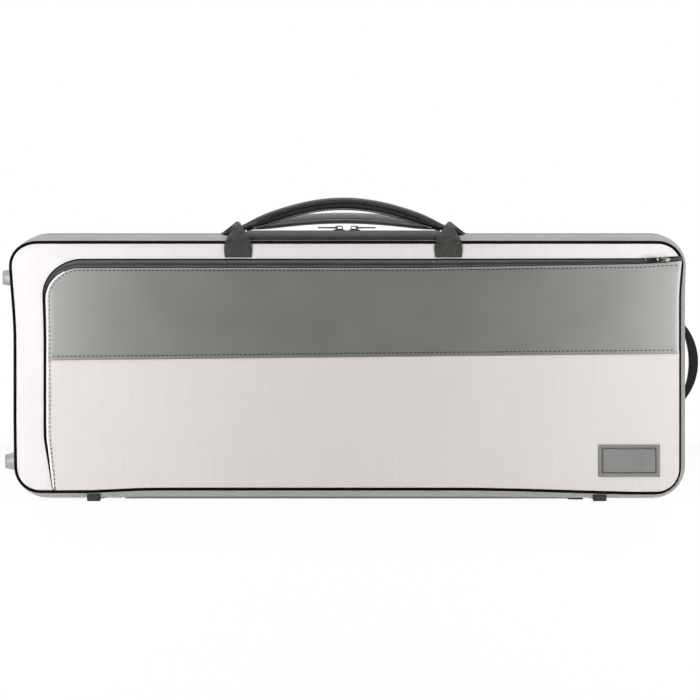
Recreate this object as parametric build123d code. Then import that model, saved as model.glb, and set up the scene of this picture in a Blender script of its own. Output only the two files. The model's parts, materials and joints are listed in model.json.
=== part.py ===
"""Oblong viola case, standing on its hinge side with its handles up.

The row frame has +X along the case towards the scroll end, +Y from the lid to the back
and +Z up. The origin lies on the floor, at the middle of the case's box. Sizes are in
millimetres. The case is two pans, a lid and a base, that part at a zip.
"""

from build123d import *

import math
import os

# Overall sizes of the shut case
face_width = 780.0
face_height = 293.0
case_depth = 150.0
lid_depth = 60.0
face_radius = 30.0
side_bulge = 9.6
left_bulge = 1.5
bulge_strips = 3
foot_height = 3.0

# Walls and clearances
wall = 9.0
floor_wall = 8.0
seam_gap = 0.6
cloth_gap = 0.15
running_gap = 0.3
overrun = 1.0

# Piping, face panels and the main zip
piping_radius = 1.75
piping_sides = 6
panel_recess = 0.7
panel_gap = 0.2
tape_thickness = 1.3
tape_width = 12.0
hinge_leaf_width = 24.0
hinge_half_length = 262.0
zip_end_gap = 2.0
valance_thickness = 1.5
valance_reach = 8.0

# Front pocket
pocket_top_drop = 21.1
pocket_left_inset = 35.4
pocket_corner = 44.0
pocket_tape_top = 10.5
pocket_tape_left = 5.8
pocket_tape_thickness = 1.6
pocket_slant = 10.0
pocket_slant_rise = 62.0
pocket_panel_gap = 0.4
pocket_edge_strip = 1.4
pocket_panel_thickness = 3.0
band_seam_left = 152.3
band_seam_right = 160.5
badge_width = 72.0
badge_height = 37.6
badge_right_inset = 23.2
badge_rise = 16.5
badge_thickness = 1.2
badge_frame = 4.0
badge_frame_height = 0.8
badge_corner = 1.0

# Handles on the top and their leather tabs
handle_middle = -4.0
handle_half_arc = 107.0
handle_rise = 31.5
handle_end_rise = 9.5
handle_taper = 0.1
handle_steps = 12
handle_sides = 10
handle_radius = 6.75
handle_end_radius = 5.5
handle_root = 112.0
handle_bar_radius = 5.0
handle_bar_end = 128.0
handle_seam_height = 1.6
handle_seam_thickness = 2.4
pivot_height = 5.4
front_pivot_depth = 45.0
rear_pivot_depth = 37.0
rear_handle_lean = 68.0
tab_spacing = 123.3
tab_thickness = 2.5
tab_half_width = 15.5
tab_crest_half_width = 3.5
tab_rear_shift = 8.0
tab_leg_drop = 19.8
tab_foot_reach = 11.0
tab_foot_length = 12.0
patch_half_length = 104.0
patch_thickness = 3.0
patch_margin = 0.6
lid_patch_end = 56.0
base_patch_end = 45.0

# End handle at the scroll end
end_handle_z = 163.0
end_handle_depth = 45.0
end_handle_half = 51.0
end_handle_reach = 21.0
end_handle_thick = 9.5
end_handle_width = 32.0
end_flap_length = 16.0
end_flap_thickness = 3.4

# Feet
stand_foot_x = 297.0
stand_foot_length = 16.0
stand_foot_width = 13.0
stand_foot_corner = 3.0
lid_foot_depth = 48.0
base_foot_depth = 72.0
foot_edge = 1.0
end_foot_radius = 10.5
end_foot_tip_radius = 9.0
end_foot_height = 12.0
end_foot_edge = 1.5
end_foot_sides = 16
end_foot_upper = 104.0
end_foot_lower = 113.0
lid_end_foot_depth = 30.0
base_end_foot_depth = 52.0
stop_tab_x = 271.0
stop_tab_width = 18.0
stop_tab_thickness = 1.15

# Sliders and pullers, in each slider's own frame
slider_length = 14.0
slider_width = 10.4
slider_plate = 1.8
slider_lift = 1.6
slider_flange = 1.5
slider_flange_length = 9.4
slider_nose = 3.0
bridge_length = 9.0
bridge_width = 4.0
bridge_height = 4.6
bridge_wall = 1.1
bridge_corner = 1.2
pin_radius = 0.8
pin_sides = 8
pin_gap = 0.4
puller_length = 23.0
puller_width = 7.2
puller_thickness = 1.4
puller_arm = 1.1
puller_hole_radius = 1.6
puller_hole_sides = 10
puller_corner = 1.6
slider_spacing = 18.0
pocket_slider_inset = 17.0

# Carrying rings on the back
ring_x = 300.0
ring_spread = 95.0
ring_radius = 12.0
ring_wire = 1.5
ring_steps = 8
ring_sides = 6
loop_sides = 8
ring_loop_wall = 1.6
ring_loop_length = 18.0
ring_tab_width = 26.0
ring_tab_length = 30.0
ring_tab_thickness = 2.0
ring_tab_corner = 3.0

# Inside of the base: lining and the fitted nest for the instrument
lining_thickness = 1.5
nest_drop = 9.0
nest_end_wall = 10.0
body_length = 440.0
lower_bout_radius = 128.0
upper_bout_radius = 105.0
waist_radius = 35.0
nest_shoulder = 12.0
nest_edge = 4.0
neck_half_width = 38.0
neck_cut_half_width = 30.0
lower_cushion_size = (150.0, 176.0)
upper_cushion_size = (112.0, 136.0)
cushion_height = 20.0
cushion_sides = 22
cushion_power = 4.0
cushion_steps = ((0, 0.94), (0.35, 1), (0.6, 0.97), (0.78, 0.86), (0.92, 0.62), (1, 0.3))
neck_cushion_start = 20.0
neck_cushion_length = 48.0
neck_cushion_height = 43.0
neck_groove_radius = 24.0
neck_groove_depth = 12.0

# Accessory trays and their small lids
tray_start = 4.0
tray_drop = 13.0
tray_wall = 5.0
tray_floor = 3.0
tray_corner = 12.0
tray_neck_gap = 2.0
small_room_length = 44.0
tray_divider = 12.0
tray_lid_overhang = 2.6
tray_lid_thickness = 3.0
tray_lid_corner = 5.0
tray_lid_edge = 0.9
ribbon_length = 8.0
ribbon_width = 14.0
ribbon_thickness = 0.9
strap_start = 32.0
strap_width = 24.0
strap_thickness = 2.0
strap_overlap = 3.0

# Inside of the lid: lining, bow turns and bow tip sleeves
lid_lining_thickness = 2.0
bow_spread = 25.0
bow_turn_x = -300.0
bow_mount_radius = 13.0
bow_mount_height = 4.0
bow_mount_sides = 12
bow_shaft_radius = 4.0
bow_shaft_length = 17.0
bow_bar_length = 36.0
bow_bar_width = 10.0
bow_bar_height = 5.0
bow_bar_corner = 2.5
sleeve_x = 330.0
sleeve_length = 60.0
sleeve_width = 26.0
sleeve_height = 14.0
sleeve_wall = 2.0
sleeve_corner = 3.0

# Places that follow from the sizes above
front_y = -case_depth / 2
back_y = case_depth / 2
seam_y = front_y + lid_depth
base_depth = case_depth - lid_depth
seam_bottom = foot_height
face_bottom = seam_bottom + side_bulge
face_top = face_bottom + face_height
mid_z = face_bottom + face_height / 2
face_left = -face_width / 2
face_right = face_width / 2
hinge_z = seam_bottom - tape_thickness
depth_of = {"lid": lid_depth - piping_radius, "base": base_depth - piping_radius}
way_of = {"lid": -1.0, "base": 1.0}
room_of = {half: depth - floor_wall for half, depth in depth_of.items()}
panel_thickness = piping_radius - panel_recess
panel_inset = 2 * piping_radius + panel_gap
panel_y = front_y + panel_recess
pocket_tape_y = panel_y - pocket_tape_thickness
pocket_y = panel_y - pocket_panel_thickness
back_panel_y = back_y - panel_recess


def at(y):
    """Returns the drawing plane at depth y, whose sketches hold X and Z of the row."""
    return Plane((0, y, 0), x_dir=(1, 0, 0), z_dir=(0, -1, 0))


def slab(sketch, near_y, far_y):
    """Returns the sketch as a solid from near_y, at the front, to far_y."""
    return extrude(at(far_y) * sketch, amount=far_y - near_y)


def block(low, high):
    """Returns the box between two corners."""
    size = [b - a for a, b in zip(low, high)]
    middle = [(a + b) / 2 for a, b in zip(low, high)]
    return Pos(*middle) * Box(*size)


def swell(share):
    """Returns the sides' swell at a share of the half's depth, straight between stations."""
    station = min(max(math.floor(share * bulge_strips), 0), bulge_strips - 1)
    low, high = station / bulge_strips, (station + 1) / bulge_strips
    return 1 - low**2 - (high**2 - low**2) * (share - low) / (high - low)


def spare(share):
    """Returns how far the side stands outside the face, at a share of the half's depth."""
    return side_bulge * swell(share)


def outline(share, grow=0.0):
    """Returns the case's outline at a share of the half's depth, as a sketch in X and Z."""
    right = spare(share)
    left = left_bulge * swell(share)
    width = face_width + right + left + 2 * grow
    height = face_height + 2 * right + 2 * grow
    corner = face_radius + right + grow
    return Pos((right - left) / 2, mid_z) * RectangleRounded(width, height, corner)


def pan(half, near, far, grow=0.0):
    """Returns the half's solid form between two distances from the seam."""
    depth = depth_of[half]
    stations = [depth * n / bulge_strips for n in range(bulge_strips + 1)]
    steps = [near] + [station for station in stations if near < station < far] + [far]
    sections = [at(seam_y + way_of[half] * step) * outline(step / depth, grow) for step in steps]
    return loft(sections, ruled=True)


def room(half, near, far=None):
    """Returns the space inside the half's walls, between two distances from the seam."""
    return pan(half, near, far or room_of[half], -wall)


def fill(half, near, far):
    """Returns that space less a clearance, for what fits inside the half."""
    return pan(half, near, far, -wall - running_gap)


def cover(half, near, far, thickness, gap=cloth_gap):
    """Returns a skin that lies round the half's sides."""
    skin = pan(half, near, far, gap + thickness)
    return skin - pan(half, near - overrun, far + overrun, gap)


def seated(half, piece):
    """Returns a piece cut to lie on the half's curved side."""
    return piece - pan(half, seam_gap / 2, depth_of[half], cloth_gap)


def top_z(half, distance):
    """Returns the height of the half's top side at a distance from the seam."""
    return face_top + spare(distance / depth_of[half])


def piping(half):
    """Returns the round cord along the edge of the half's face."""
    y = seam_y + way_of[half] * depth_of[half]
    path = outline(1, -piping_radius).wire()
    start = Plane(origin=path @ 0, x_dir=(0, 0, 1), z_dir=path % 0)
    section = start * RegularPolygon(piping_radius, piping_sides)
    return Pos(0, y, 0) * Rot(X=90) * sweep(section, path)


def shell(half):
    """Returns one foam-and-ply pan with its cavity and the step for its piping."""
    body = pan(half, seam_gap / 2, depth_of[half]) - room(half, -overrun)
    step = outline(1, 2 * overrun) - outline(1, -2 * piping_radius - cloth_gap)
    depths = (depth_of[half] - piping_radius - cloth_gap, depth_of[half] + overrun)
    near, far = sorted(seam_y + way_of[half] * depth for depth in depths)
    return body - slab(step, near, far)


def face_panel(half):
    """Returns the cloth panel inside the piping of a face."""
    y = seam_y + way_of[half] * depth_of[half]
    near, far = sorted((y, y + way_of[half] * panel_thickness))
    return slab(outline(1, -panel_inset), near, far)


def zip_tape(half):
    """Returns the half's tape of the main zip, open along the hinge."""
    tape = cover(half, seam_gap / 2, tape_width, tape_thickness - cloth_gap)
    reach = hinge_half_length + zip_end_gap
    return tape - block((-reach, -case_depth, -overrun), (reach, case_depth, face_bottom))


def hinge_leaf(half):
    """Returns the half's leaf of the cloth hinge under the case."""
    leaf = cover(half, seam_gap / 2, hinge_leaf_width, tape_thickness - cloth_gap)
    low = (-hinge_half_length, -case_depth, -overrun)
    return leaf & block(low, (hinge_half_length, case_depth, face_bottom))


def top_patch(half, far):
    """Returns the leather patch on top of the half, between the handle's tabs."""
    patch = cover(half, tape_width + patch_margin, far, patch_thickness)
    low = (handle_middle - patch_half_length, -case_depth, mid_z)
    return patch & block(low, (handle_middle + patch_half_length, case_depth, face_top * 2))


def stop_tab():
    """Returns the leather tab under the end of the main zip."""
    outside = tape_thickness + cloth_gap
    tab = cover("base", zip_end_gap, hinge_leaf_width, stop_tab_thickness, outside)
    low = (stop_tab_x - stop_tab_width / 2, -case_depth, -overrun)
    return tab & block(low, (stop_tab_x + stop_tab_width / 2, case_depth, face_bottom))


def valance():
    """Returns the strip inside the rim that closes the seam against dust."""
    inset = -wall - 2 * running_gap
    ring = outline(0, inset) - outline(0, inset - valance_thickness)
    return slab(ring, seam_y - valance_reach, seam_y + valance_reach)


def pocket_region(left, top):
    """Returns the pocket's outline, set in from the zip's outer edge at its left and top."""
    x = face_left + pocket_left_inset + left
    z = face_top - pocket_top_drop - top
    low = face_bottom - overrun
    corners = [
        (x, z),
        (face_right + overrun, z),
        (face_right + overrun, low),
        (x + pocket_slant, low),
        (x, low + pocket_slant_rise),
    ]
    region = make_face(Polyline(*corners, close=True))
    first = region.vertices().filter_by(lambda v: abs(v.X - x) < 0.01).sort_by(Axis.Y)[-1]
    region = fillet(first, pocket_corner - left)
    return region & outline(1, -panel_inset)


def pocket_zip_tape():
    """Returns the pocket's zip tape, along the top and down the left."""
    band = pocket_region(0, 0) - pocket_region(pocket_tape_left, pocket_tape_top)
    return slab(band, pocket_tape_y, panel_y)


def pocket_panel(upper):
    """Returns the pocket's leather band or the cloth below it."""
    left = pocket_tape_left + pocket_edge_strip
    region = pocket_region(left, pocket_tape_top + pocket_panel_gap)
    low, high = face_bottom - overrun, face_top + overrun
    edge = high if upper else low
    left_z, right_z = face_bottom + band_seam_left, face_bottom + band_seam_right
    side = Polyline(
        (face_left, left_z), (face_right, right_z), (face_right, edge), (face_left, edge), close=True
    )
    return slab(region & make_face(side), pocket_y, panel_y)


def badge():
    """Returns the blank leather badge with its raised frame."""
    x = face_right - badge_right_inset - badge_width / 2
    z = face_bottom + badge_rise + badge_height / 2
    plate = Pos(x, z) * chamfer(Rectangle(badge_width, badge_height).vertices(), badge_corner)
    inner = Pos(x, z) * Rectangle(badge_width - 2 * badge_frame, badge_height - 2 * badge_frame)
    top = pocket_y - badge_thickness
    return slab(plate, top, pocket_y) + slab(plate - inner, top - badge_frame_height, top)


def handle_section(radius):
    """Returns the rolled leather's section, a round with the sewn edge below it."""
    half = handle_seam_thickness / 2
    start = math.asin(half / radius)
    low = -radius - handle_seam_height
    points = [(half, low)]
    for step in range(handle_sides):
        turn = start + 2 * (math.pi - start) * step / (handle_sides - 1)
        points.append((radius * math.sin(turn), -radius * math.cos(turn)))
    points.append((-half, low))
    return make_face(Polyline(*points, close=True))


def handle():
    """Returns a rolled leather handle, upright, with its pivot on the X axis."""
    ends = handle_end_rise
    path = ThreePointArc((-handle_half_arc, 0, ends), (0, 0, handle_rise), (handle_half_arc, 0, ends))
    roots = [Plane((x, 0, 0), x_dir=(0, 1, 0), z_dir=(1, 0, 0)) for x in (-handle_root, handle_root)]
    sections = [roots[0] * handle_section(handle_bar_radius)]
    for step in range(handle_steps + 1):
        share = step / handle_steps
        full = min(1, min(share, 1 - share) / handle_taper)
        radius = handle_end_radius + (handle_radius - handle_end_radius) * full
        plane = Plane(origin=path @ share, x_dir=(0, 1, 0), z_dir=path % share)
        sections.append(plane * handle_section(radius))
    sections.append(roots[1] * handle_section(handle_bar_radius))
    bar_length = handle_bar_end - handle_root + overrun
    bar = Rot(Y=90) * Cylinder(handle_bar_radius, bar_length)
    bar_x = handle_bar_end - bar_length / 2
    return loft(sections, ruled=True) + Pos(bar_x) * bar + Pos(-bar_x) * bar


def pivot(half):
    """Returns Y and Z of the half's handle pivot."""
    distance = {"lid": front_pivot_depth, "base": rear_pivot_depth}[half]
    return seam_y + way_of[half] * distance, top_z(half, distance) + pivot_height + handle_bar_radius


def tangent_point(centre, radius, point, side):
    """Returns where the line from point meets the circle; side is 1 or -1."""
    dy, dz = point[0] - centre[0], point[1] - centre[1]
    turn = math.atan2(dz, dy) + side * math.acos(radius / math.hypot(dy, dz))
    return centre[0] + radius * math.cos(turn), centre[1] + radius * math.sin(turn)


def tab_face(x, crest, shift):
    """Returns a tab leg seen from the front, drawn in to the crest, with its foot shifted."""
    wide, narrow = tab_half_width, tab_crest_half_width
    top = crest + tab_thickness
    corners = [
        (shift + wide, 0),
        (shift + wide, face_top),
        (narrow, crest),
        (narrow, top),
        (-narrow, top),
        (-narrow, crest),
        (shift - wide, face_top),
        (shift - wide, 0),
    ]
    return Pos(x) * make_face(Polyline(*corners, close=True))


def tab(half, side):
    """Returns the tab that is folded over the left (-1) or right (1) end of the half's handle."""
    x = handle_middle + side * tab_spacing
    y, z = pivot(half)
    fold = handle_bar_radius + running_gap + tab_thickness / 2
    lift = cloth_gap + tab_thickness / 2
    rear_y = y + tab_foot_reach
    rear = (rear_y, top_z(half, abs(rear_y - seam_y)) + lift)
    rear_end = (rear_y + tab_foot_length, top_z(half, abs(rear_y + tab_foot_length - seam_y)) + lift)
    if half == "lid":
        leg_y = front_y - lift
        front, front_end = (leg_y, face_top), (leg_y, face_top - tab_leg_drop)
    else:
        leg_y = y - tab_foot_reach
        front = (leg_y, top_z(half, leg_y - seam_y) + lift)
        front_end = (leg_y - tab_foot_length, top_z(half, leg_y - tab_foot_length - seam_y) + lift)
    start = tangent_point((y, z), fold, front, -1)
    end = tangent_point((y, z), fold, rear, 1)
    crest = (y, z + fold)
    strip = Polyline(front_end, front, start)
    strip += ThreePointArc(start, crest, end)
    strip += Polyline(end, rear, rear_end)
    side_view = Plane.YZ * trace(strip, tab_thickness)
    solid = extrude(Pos(x) * side_view, tab_half_width + tab_rear_shift, both=True)
    front_leg = slab(tab_face(x, z + fold, 0), front_y * 2, y)
    rear_leg = slab(tab_face(x, z + fold, side * tab_rear_shift), y, back_y)
    return seated(half, solid & (front_leg + rear_leg))


def end_handle():
    """Returns the padded webbing handle on the scroll end."""
    wall_x = face_right + spare(end_handle_depth / depth_of["base"])
    half, reach = end_handle_half, end_handle_reach
    inner_reach = reach - end_handle_thick
    inner_half = half - end_flap_thickness
    root = wall_x - overrun
    outer = make_face(
        [ThreePointArc((root, -half), (wall_x + reach, 0), (root, half)), Line((root, half), (root, -half))]
    )
    inner = make_face(
        [
            ThreePointArc((root, -inner_half), (wall_x + inner_reach, 0), (root, inner_half)),
            Line((root, inner_half), (root, -inner_half)),
        ]
    )
    flap_x = wall_x + end_flap_thickness / 2
    flap = Rectangle(end_flap_thickness, end_flap_length + end_flap_thickness)
    flap_z = half + end_flap_length / 2
    side = outer - inner + Pos(flap_x, flap_z) * flap + Pos(flap_x, -flap_z) * flap
    y = seam_y + end_handle_depth
    solid = slab(Pos(0, end_handle_z) * side, y - end_handle_width / 2, y + end_handle_width / 2)
    return seated("base", solid)


def stand_feet(half, distance):
    """Returns the two low rubber feet that the half stands on."""
    y = seam_y + way_of[half] * distance
    shape = chamfer(Rectangle(stand_foot_length, stand_foot_width).vertices(), stand_foot_corner)
    pad = extrude(shape, face_bottom + foot_edge)
    pad = chamfer(pad.edges().group_by(Axis.Z)[0], foot_edge)
    return seated(half, Pos(stand_foot_x, y) * pad + Pos(-stand_foot_x, y) * pad)


def end_feet(half, distance):
    """Returns the half's two round feet at the end that the case is stood on."""
    y = seam_y + way_of[half] * distance
    tip = end_foot_height
    rims = (
        (-overrun, end_foot_radius),
        (tip - end_foot_edge, end_foot_tip_radius),
        (tip, end_foot_tip_radius - end_foot_edge),
    )
    sections = [Plane.YZ.offset(-x) * RegularPolygon(radius, end_foot_sides) for x, radius in rims]
    foot = loft(sections, ruled=True)
    feet = [Pos(face_left, y, z) * foot for z in (mid_z + end_foot_upper, mid_z - end_foot_lower)]
    return seated(half, feet[0] + feet[1])


def slider(flange_side):
    """Returns a zip slider in its own frame: the tape's top is z 0 and the zip runs along x."""
    shape = chamfer(Rectangle(slider_length, slider_width).vertices(), slider_nose)
    plate = Pos(Z=slider_lift) * extrude(shape, slider_plate)
    flange_low = (-slider_flange_length / 2, slider_width / 2 - slider_flange, running_gap)
    flange_high = (slider_flange_length / 2, slider_width / 2, slider_lift + slider_plate)
    flange = block(flange_low, flange_high)
    if flange_side < 0:
        flange = mirror(flange, Plane.XZ)
    top = slider_lift + slider_plate
    middle = Pos(0, top + bridge_height / 2)
    arch = chamfer(Rectangle(bridge_length, bridge_height).vertices().group_by(Axis.Y)[-1], bridge_corner)
    slot = Rectangle(bridge_length - 2 * bridge_wall, bridge_height - 2 * bridge_wall)
    bridge = extrude(Plane.XZ * (middle * (arch - slot)), bridge_width / 2, both=True)
    return plate + flange + bridge


def pin_place():
    """Returns x and z of the puller's pin in the slider's frame."""
    x = bridge_length / 2 - bridge_wall - pin_gap - pin_radius
    return x, slider_lift + slider_plate + bridge_height / 2


def puller():
    """Returns the puller in the slider's frame: a pin through the bridge, two arms and a plate."""
    x, z = pin_place()
    pin_half = bridge_width / 2 + pin_gap + puller_arm
    pin = extrude(Plane.XZ * (Pos(x, z) * RegularPolygon(pin_radius, pin_sides)), pin_half, both=True)
    start, end = x + puller_length / 4, x + puller_length
    corners = Rectangle(end - start, puller_width).vertices()
    plate_shape = Pos((start + end) / 2) * chamfer(corners, puller_corner)
    hole = Pos(end - puller_width / 2) * RegularPolygon(puller_hole_radius, puller_hole_sides)
    plate = Pos(Z=z - puller_thickness / 2) * extrude(plate_shape - hole, puller_thickness)
    arm_end = start + puller_width / 2
    arm = block((x - pin_radius, pin_half - puller_arm, z - pin_radius), (arm_end, pin_half, z + pin_radius))
    return pin + plate + arm + mirror(arm, Plane.XZ)


def main_slider_place(side):
    """Returns the frame of the main zip's slider to the right (1) or left (-1) of the middle."""
    origin = (side * slider_spacing / 2, seam_y, seam_bottom + face_height + 2 * side_bulge + tape_thickness)
    return Plane(origin, x_dir=(side, 0, 0), z_dir=(0, 0, 1))


def pocket_slider_place():
    """Returns the frame of the pocket's slider, whose puller points left."""
    z = face_top - pocket_top_drop - pocket_tape_top / 2
    origin = (face_right - pocket_slider_inset, pocket_tape_y, z)
    return Plane(origin, x_dir=(-1, 0, 0), z_dir=(0, -1, 0))


def ring_places():
    """Returns X and Z of the four carrying rings' pivots."""
    return [(x, mid_z + z) for z in (ring_spread, -ring_spread) for x in (-ring_x, ring_x)]


def ring_pivot_y():
    """Returns the depth of the rings' pivots, behind the back panel."""
    return back_panel_y + ring_loop_wall + running_gap + ring_wire


def faceted_rod(radius, reach):
    """Returns a many-sided rod along X, as wide across its flats as a round one."""
    shape = RegularPolygon(radius, loop_sides, major_radius=False, rotation=180 / loop_sides)
    return extrude(Plane.YZ * shape, reach, both=True)


def ring_tabs():
    """Returns the four sewn tabs, each with a loop round a ring's straight bar."""
    loop_inner = ring_wire + running_gap
    loop_outer = loop_inner + ring_loop_wall
    tabs = []
    for x, z in ring_places():
        corners = Rectangle(ring_tab_width, ring_tab_length).vertices()
        plate = Pos(x, z + ring_tab_length / 2) * chamfer(corners, ring_tab_corner)
        solid = slab(plate, back_panel_y, back_panel_y + ring_tab_thickness)
        place = Pos(x, ring_pivot_y(), z)
        solid += place * faceted_rod(loop_outer, ring_loop_length / 2)
        solid -= place * faceted_rod(loop_inner, ring_tab_width)
        tabs.append(solid)
    return tabs[0] + tabs[1] + tabs[2] + tabs[3]


def carrying_ring(x, z):
    """Returns one D-shaped ring, hanging from its bar."""
    bar = extrude(Plane.YZ * RegularPolygon(ring_wire, ring_sides), ring_radius + ring_wire, both=True)
    sections = []
    for step in range(ring_steps + 1):
        turn = math.radians(180 * step / ring_steps)
        place = (-ring_radius * math.cos(turn), 0, -ring_radius * math.sin(turn))
        way = (math.sin(turn), 0, -math.cos(turn))
        sections.append(Plane(place, x_dir=(0, 1, 0), z_dir=way) * RegularPolygon(ring_wire, ring_sides))
    return Pos(x, ring_pivot_y(), z) * (bar + loft(sections, ruled=True))


def bout_centres():
    """Returns X of the middle of the nest's lower and upper bout."""
    left = face_left - left_bulge + wall + nest_end_wall
    return left + lower_bout_radius, left + body_length - upper_bout_radius


def body_outline():
    """Returns the outline of the instrument's body with its clearance, from six arcs."""
    low_x, high_x = bout_centres()
    low_r, high_r, waist = lower_bout_radius, upper_bout_radius, waist_radius
    gap = high_x - low_x
    reach = ((low_r + waist) ** 2 - (high_r + waist) ** 2 + gap**2) / (2 * gap)
    rise = math.sqrt((low_r + waist) ** 2 - reach**2)
    waist_x = low_x + reach
    low_share, high_share = low_r / (low_r + waist), high_r / (high_r + waist)
    low = (low_x + reach * low_share, rise * low_share)
    high = (high_x - (gap - reach) * high_share, rise * high_share)
    arcs = [
        ThreePointArc((low[0], -low[1]), (low_x - low_r, 0), low),
        ThreePointArc(low, (waist_x, rise - waist), high),
        ThreePointArc(high, (high_x + high_r, 0), (high[0], -high[1])),
        ThreePointArc((high[0], -high[1]), (waist_x, waist - rise), (low[0], -low[1])),
    ]
    return Pos(0, mid_z) * make_face(arcs)


def nest_right():
    """Returns X of the nest's end beside the neck."""
    return bout_centres()[1] + upper_bout_radius + nest_shoulder


def nest(side):
    """Returns the foam above (1) or below (-1) the middle, cut to the instrument's outline."""
    lining_y = room_of["base"] - lining_thickness - cloth_gap
    foam = fill("base", nest_drop, lining_y)
    top, bottom = seam_y + nest_drop - overrun, seam_y + lining_y + overrun
    foam -= slab(body_outline(), top, bottom)
    neck = Pos(nest_right() - nest_shoulder, mid_z) * Rectangle(nest_shoulder * 3, 2 * neck_cut_half_width)
    foam -= slab(neck, top, bottom)
    low_z, high_z = sorted((mid_z + side * cloth_gap, mid_z + side * face_height))
    half = foam & block((face_left * 2, top, low_z), (nest_right(), bottom, high_z))
    rim = half.edges().filter_by(GeomType.CIRCLE).group_by(Axis.Y)[0]
    return chamfer(rim.filter_by(lambda edge: edge.length > waist_radius), nest_edge)


def floor_y():
    """Returns the depth of the base lining's surface."""
    return seam_y + room_of["base"] - lining_thickness - cloth_gap


def base_lining():
    """Returns the cloth lining on the base's inner floor."""
    share = room_of["base"] / depth_of["base"]
    return slab(outline(share, -wall - running_gap), floor_y() + cloth_gap, seam_y + room_of["base"])


def faceted(rings):
    """Returns the solid with flat faces between rings that have as many corners each."""
    faces = [Face(Wire.make_polygon(ring)) for ring in (rings[0], rings[-1])]
    for low, high in zip(rings, rings[1:]):
        for here in range(len(low)):
            after = (here + 1) % len(low)
            faces.append(Face(Wire.make_polygon([low[here], low[after], high[after], high[here]])))
    return Solid(Shell(faces))


def cushion_ring(x, length, height_z, rise, share):
    """Returns the corners of a share of a pad's outline, between an ellipse and its box."""
    points = []
    for step in range(cushion_sides):
        turn = 2 * math.pi * (step + 0.5) / cushion_sides
        across, up = math.cos(turn), math.sin(turn)
        size = (abs(across) ** cushion_power + abs(up) ** cushion_power) ** (-1 / cushion_power)
        half = share * size / 2
        y = floor_y() - rise * cushion_height
        points.append((x + length * across * half, y, mid_z + height_z * up * half))
    return points


def cushion(x, length, height_z):
    """Returns a crowned pad on the base's floor, with drawn-in sides."""
    return faceted([cushion_ring(x, length, height_z, rise, share) for rise, share in cushion_steps])


def neck_cushion():
    """Returns the padded cradle under the instrument's neck."""
    x = nest_right() + neck_cushion_start
    low, high = floor_y() - neck_cushion_height, floor_y()
    half = neck_half_width
    pad = block((x, low, mid_z - half), (x + neck_cushion_length, high, mid_z + half))
    pad = chamfer(pad.edges().group_by(Axis.Y)[0], nest_edge)
    groove = Rot(Y=90) * Cylinder(neck_groove_radius, neck_cushion_length * 3)
    return pad - Pos(x, low - neck_groove_radius + neck_groove_depth, mid_z) * groove


def tray_rooms():
    """Returns the X spans of the tray's long and short compartments, and its Z span from the middle."""
    share = room_of["base"] / depth_of["base"]
    left = nest_right() + tray_start + tray_wall
    right = face_right + spare(share) - wall - running_gap - tray_wall
    split = right - small_room_length
    low = neck_half_width + tray_neck_gap + tray_wall
    high = face_height / 2 + spare(share) - wall - running_gap - tray_wall
    return (left, split - tray_divider), (split, right), (low, high)


def tray(side):
    """Returns the accessory tray above (1) or below (-1) the neck, with its two compartments."""
    solid = fill("base", tray_drop, room_of["base"] - lining_thickness - cloth_gap)
    edge = mid_z + side * (neck_half_width + tray_neck_gap)
    low_z, high_z = sorted((edge, mid_z + side * face_height))
    left = nest_right() + tray_start
    solid = solid & block((left, front_y, low_z), (face_right * 2, back_y, high_z))
    long_room, short_room, across = tray_rooms()
    for start, end in (long_room, short_room):
        z = mid_z + side * (across[0] + across[1]) / 2
        shape = RectangleRounded(end - start, across[1] - across[0], tray_corner)
        hollow = Pos((start + end) / 2, z) * shape
        solid -= slab(hollow, seam_y, floor_y() - tray_floor)
    return solid


def tray_lid_pivot():
    """Returns X and Y of the small lid's hinge."""
    x = tray_rooms()[1][0] - tray_lid_overhang
    return x, seam_y + tray_drop - running_gap - tray_lid_thickness / 2


def tray_lid(side):
    """Returns the small compartment's padded lid with its pull ribbon."""
    x, y = tray_lid_pivot()
    _, (_, end), across = tray_rooms()
    length = end + tray_lid_overhang - x
    z = mid_z + side * (across[0] + across[1]) / 2
    width = across[1] - across[0] + 2 * tray_lid_overhang
    half = tray_lid_thickness / 2
    shape = chamfer(Rectangle(length, width).vertices(), tray_lid_corner)
    plate = slab(Pos(x + length / 2, z) * shape, y - half, y + half)
    plate = chamfer(plate.edges().group_by(Axis.Y)[0], tray_lid_edge)
    far = end - tray_lid_overhang
    low = (far - ribbon_length, y - half - ribbon_thickness, z - ribbon_width / 2)
    ribbon = block(low, (far, y - half, z + ribbon_width / 2))
    return plate + ribbon


def strap_pivot(side):
    """Returns Y and Z of the neck strap's fold at one tray."""
    y = seam_y + tray_drop - running_gap - strap_thickness / 2
    return y, mid_z + side * (neck_half_width + tray_neck_gap + strap_overlap)


def neck_strap(side):
    """Returns the half of the neck strap that is sewn to the tray above (1) or below (-1)."""
    x = nest_right() + strap_start
    y, root = strap_pivot(side)
    low_z, high_z = sorted((mid_z + side * running_gap, root))
    half = strap_thickness / 2
    return block((x, y - half, low_z), (x + strap_width, y + half, high_z))


def lid_floor_y():
    """Returns the depth of the lid lining's surface."""
    return seam_y - room_of["lid"] + lid_lining_thickness


def lid_lining():
    """Returns the padded lining on the lid's inner floor."""
    share = room_of["lid"] / depth_of["lid"]
    return slab(outline(share, -wall - running_gap), seam_y - room_of["lid"], lid_floor_y())


def bow_mounts():
    """Returns the two round bases that the bow turns run in."""
    hole = RegularPolygon(bow_shaft_radius + running_gap, bow_mount_sides, major_radius=False)
    ring = RegularPolygon(bow_mount_radius, bow_mount_sides) - hole
    low, high = lid_floor_y(), lid_floor_y() + bow_mount_height
    pair = [slab(Pos(bow_turn_x, mid_z + side * bow_spread) * ring, low, high) for side in (1, -1)]
    return pair[0] + pair[1]


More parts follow.
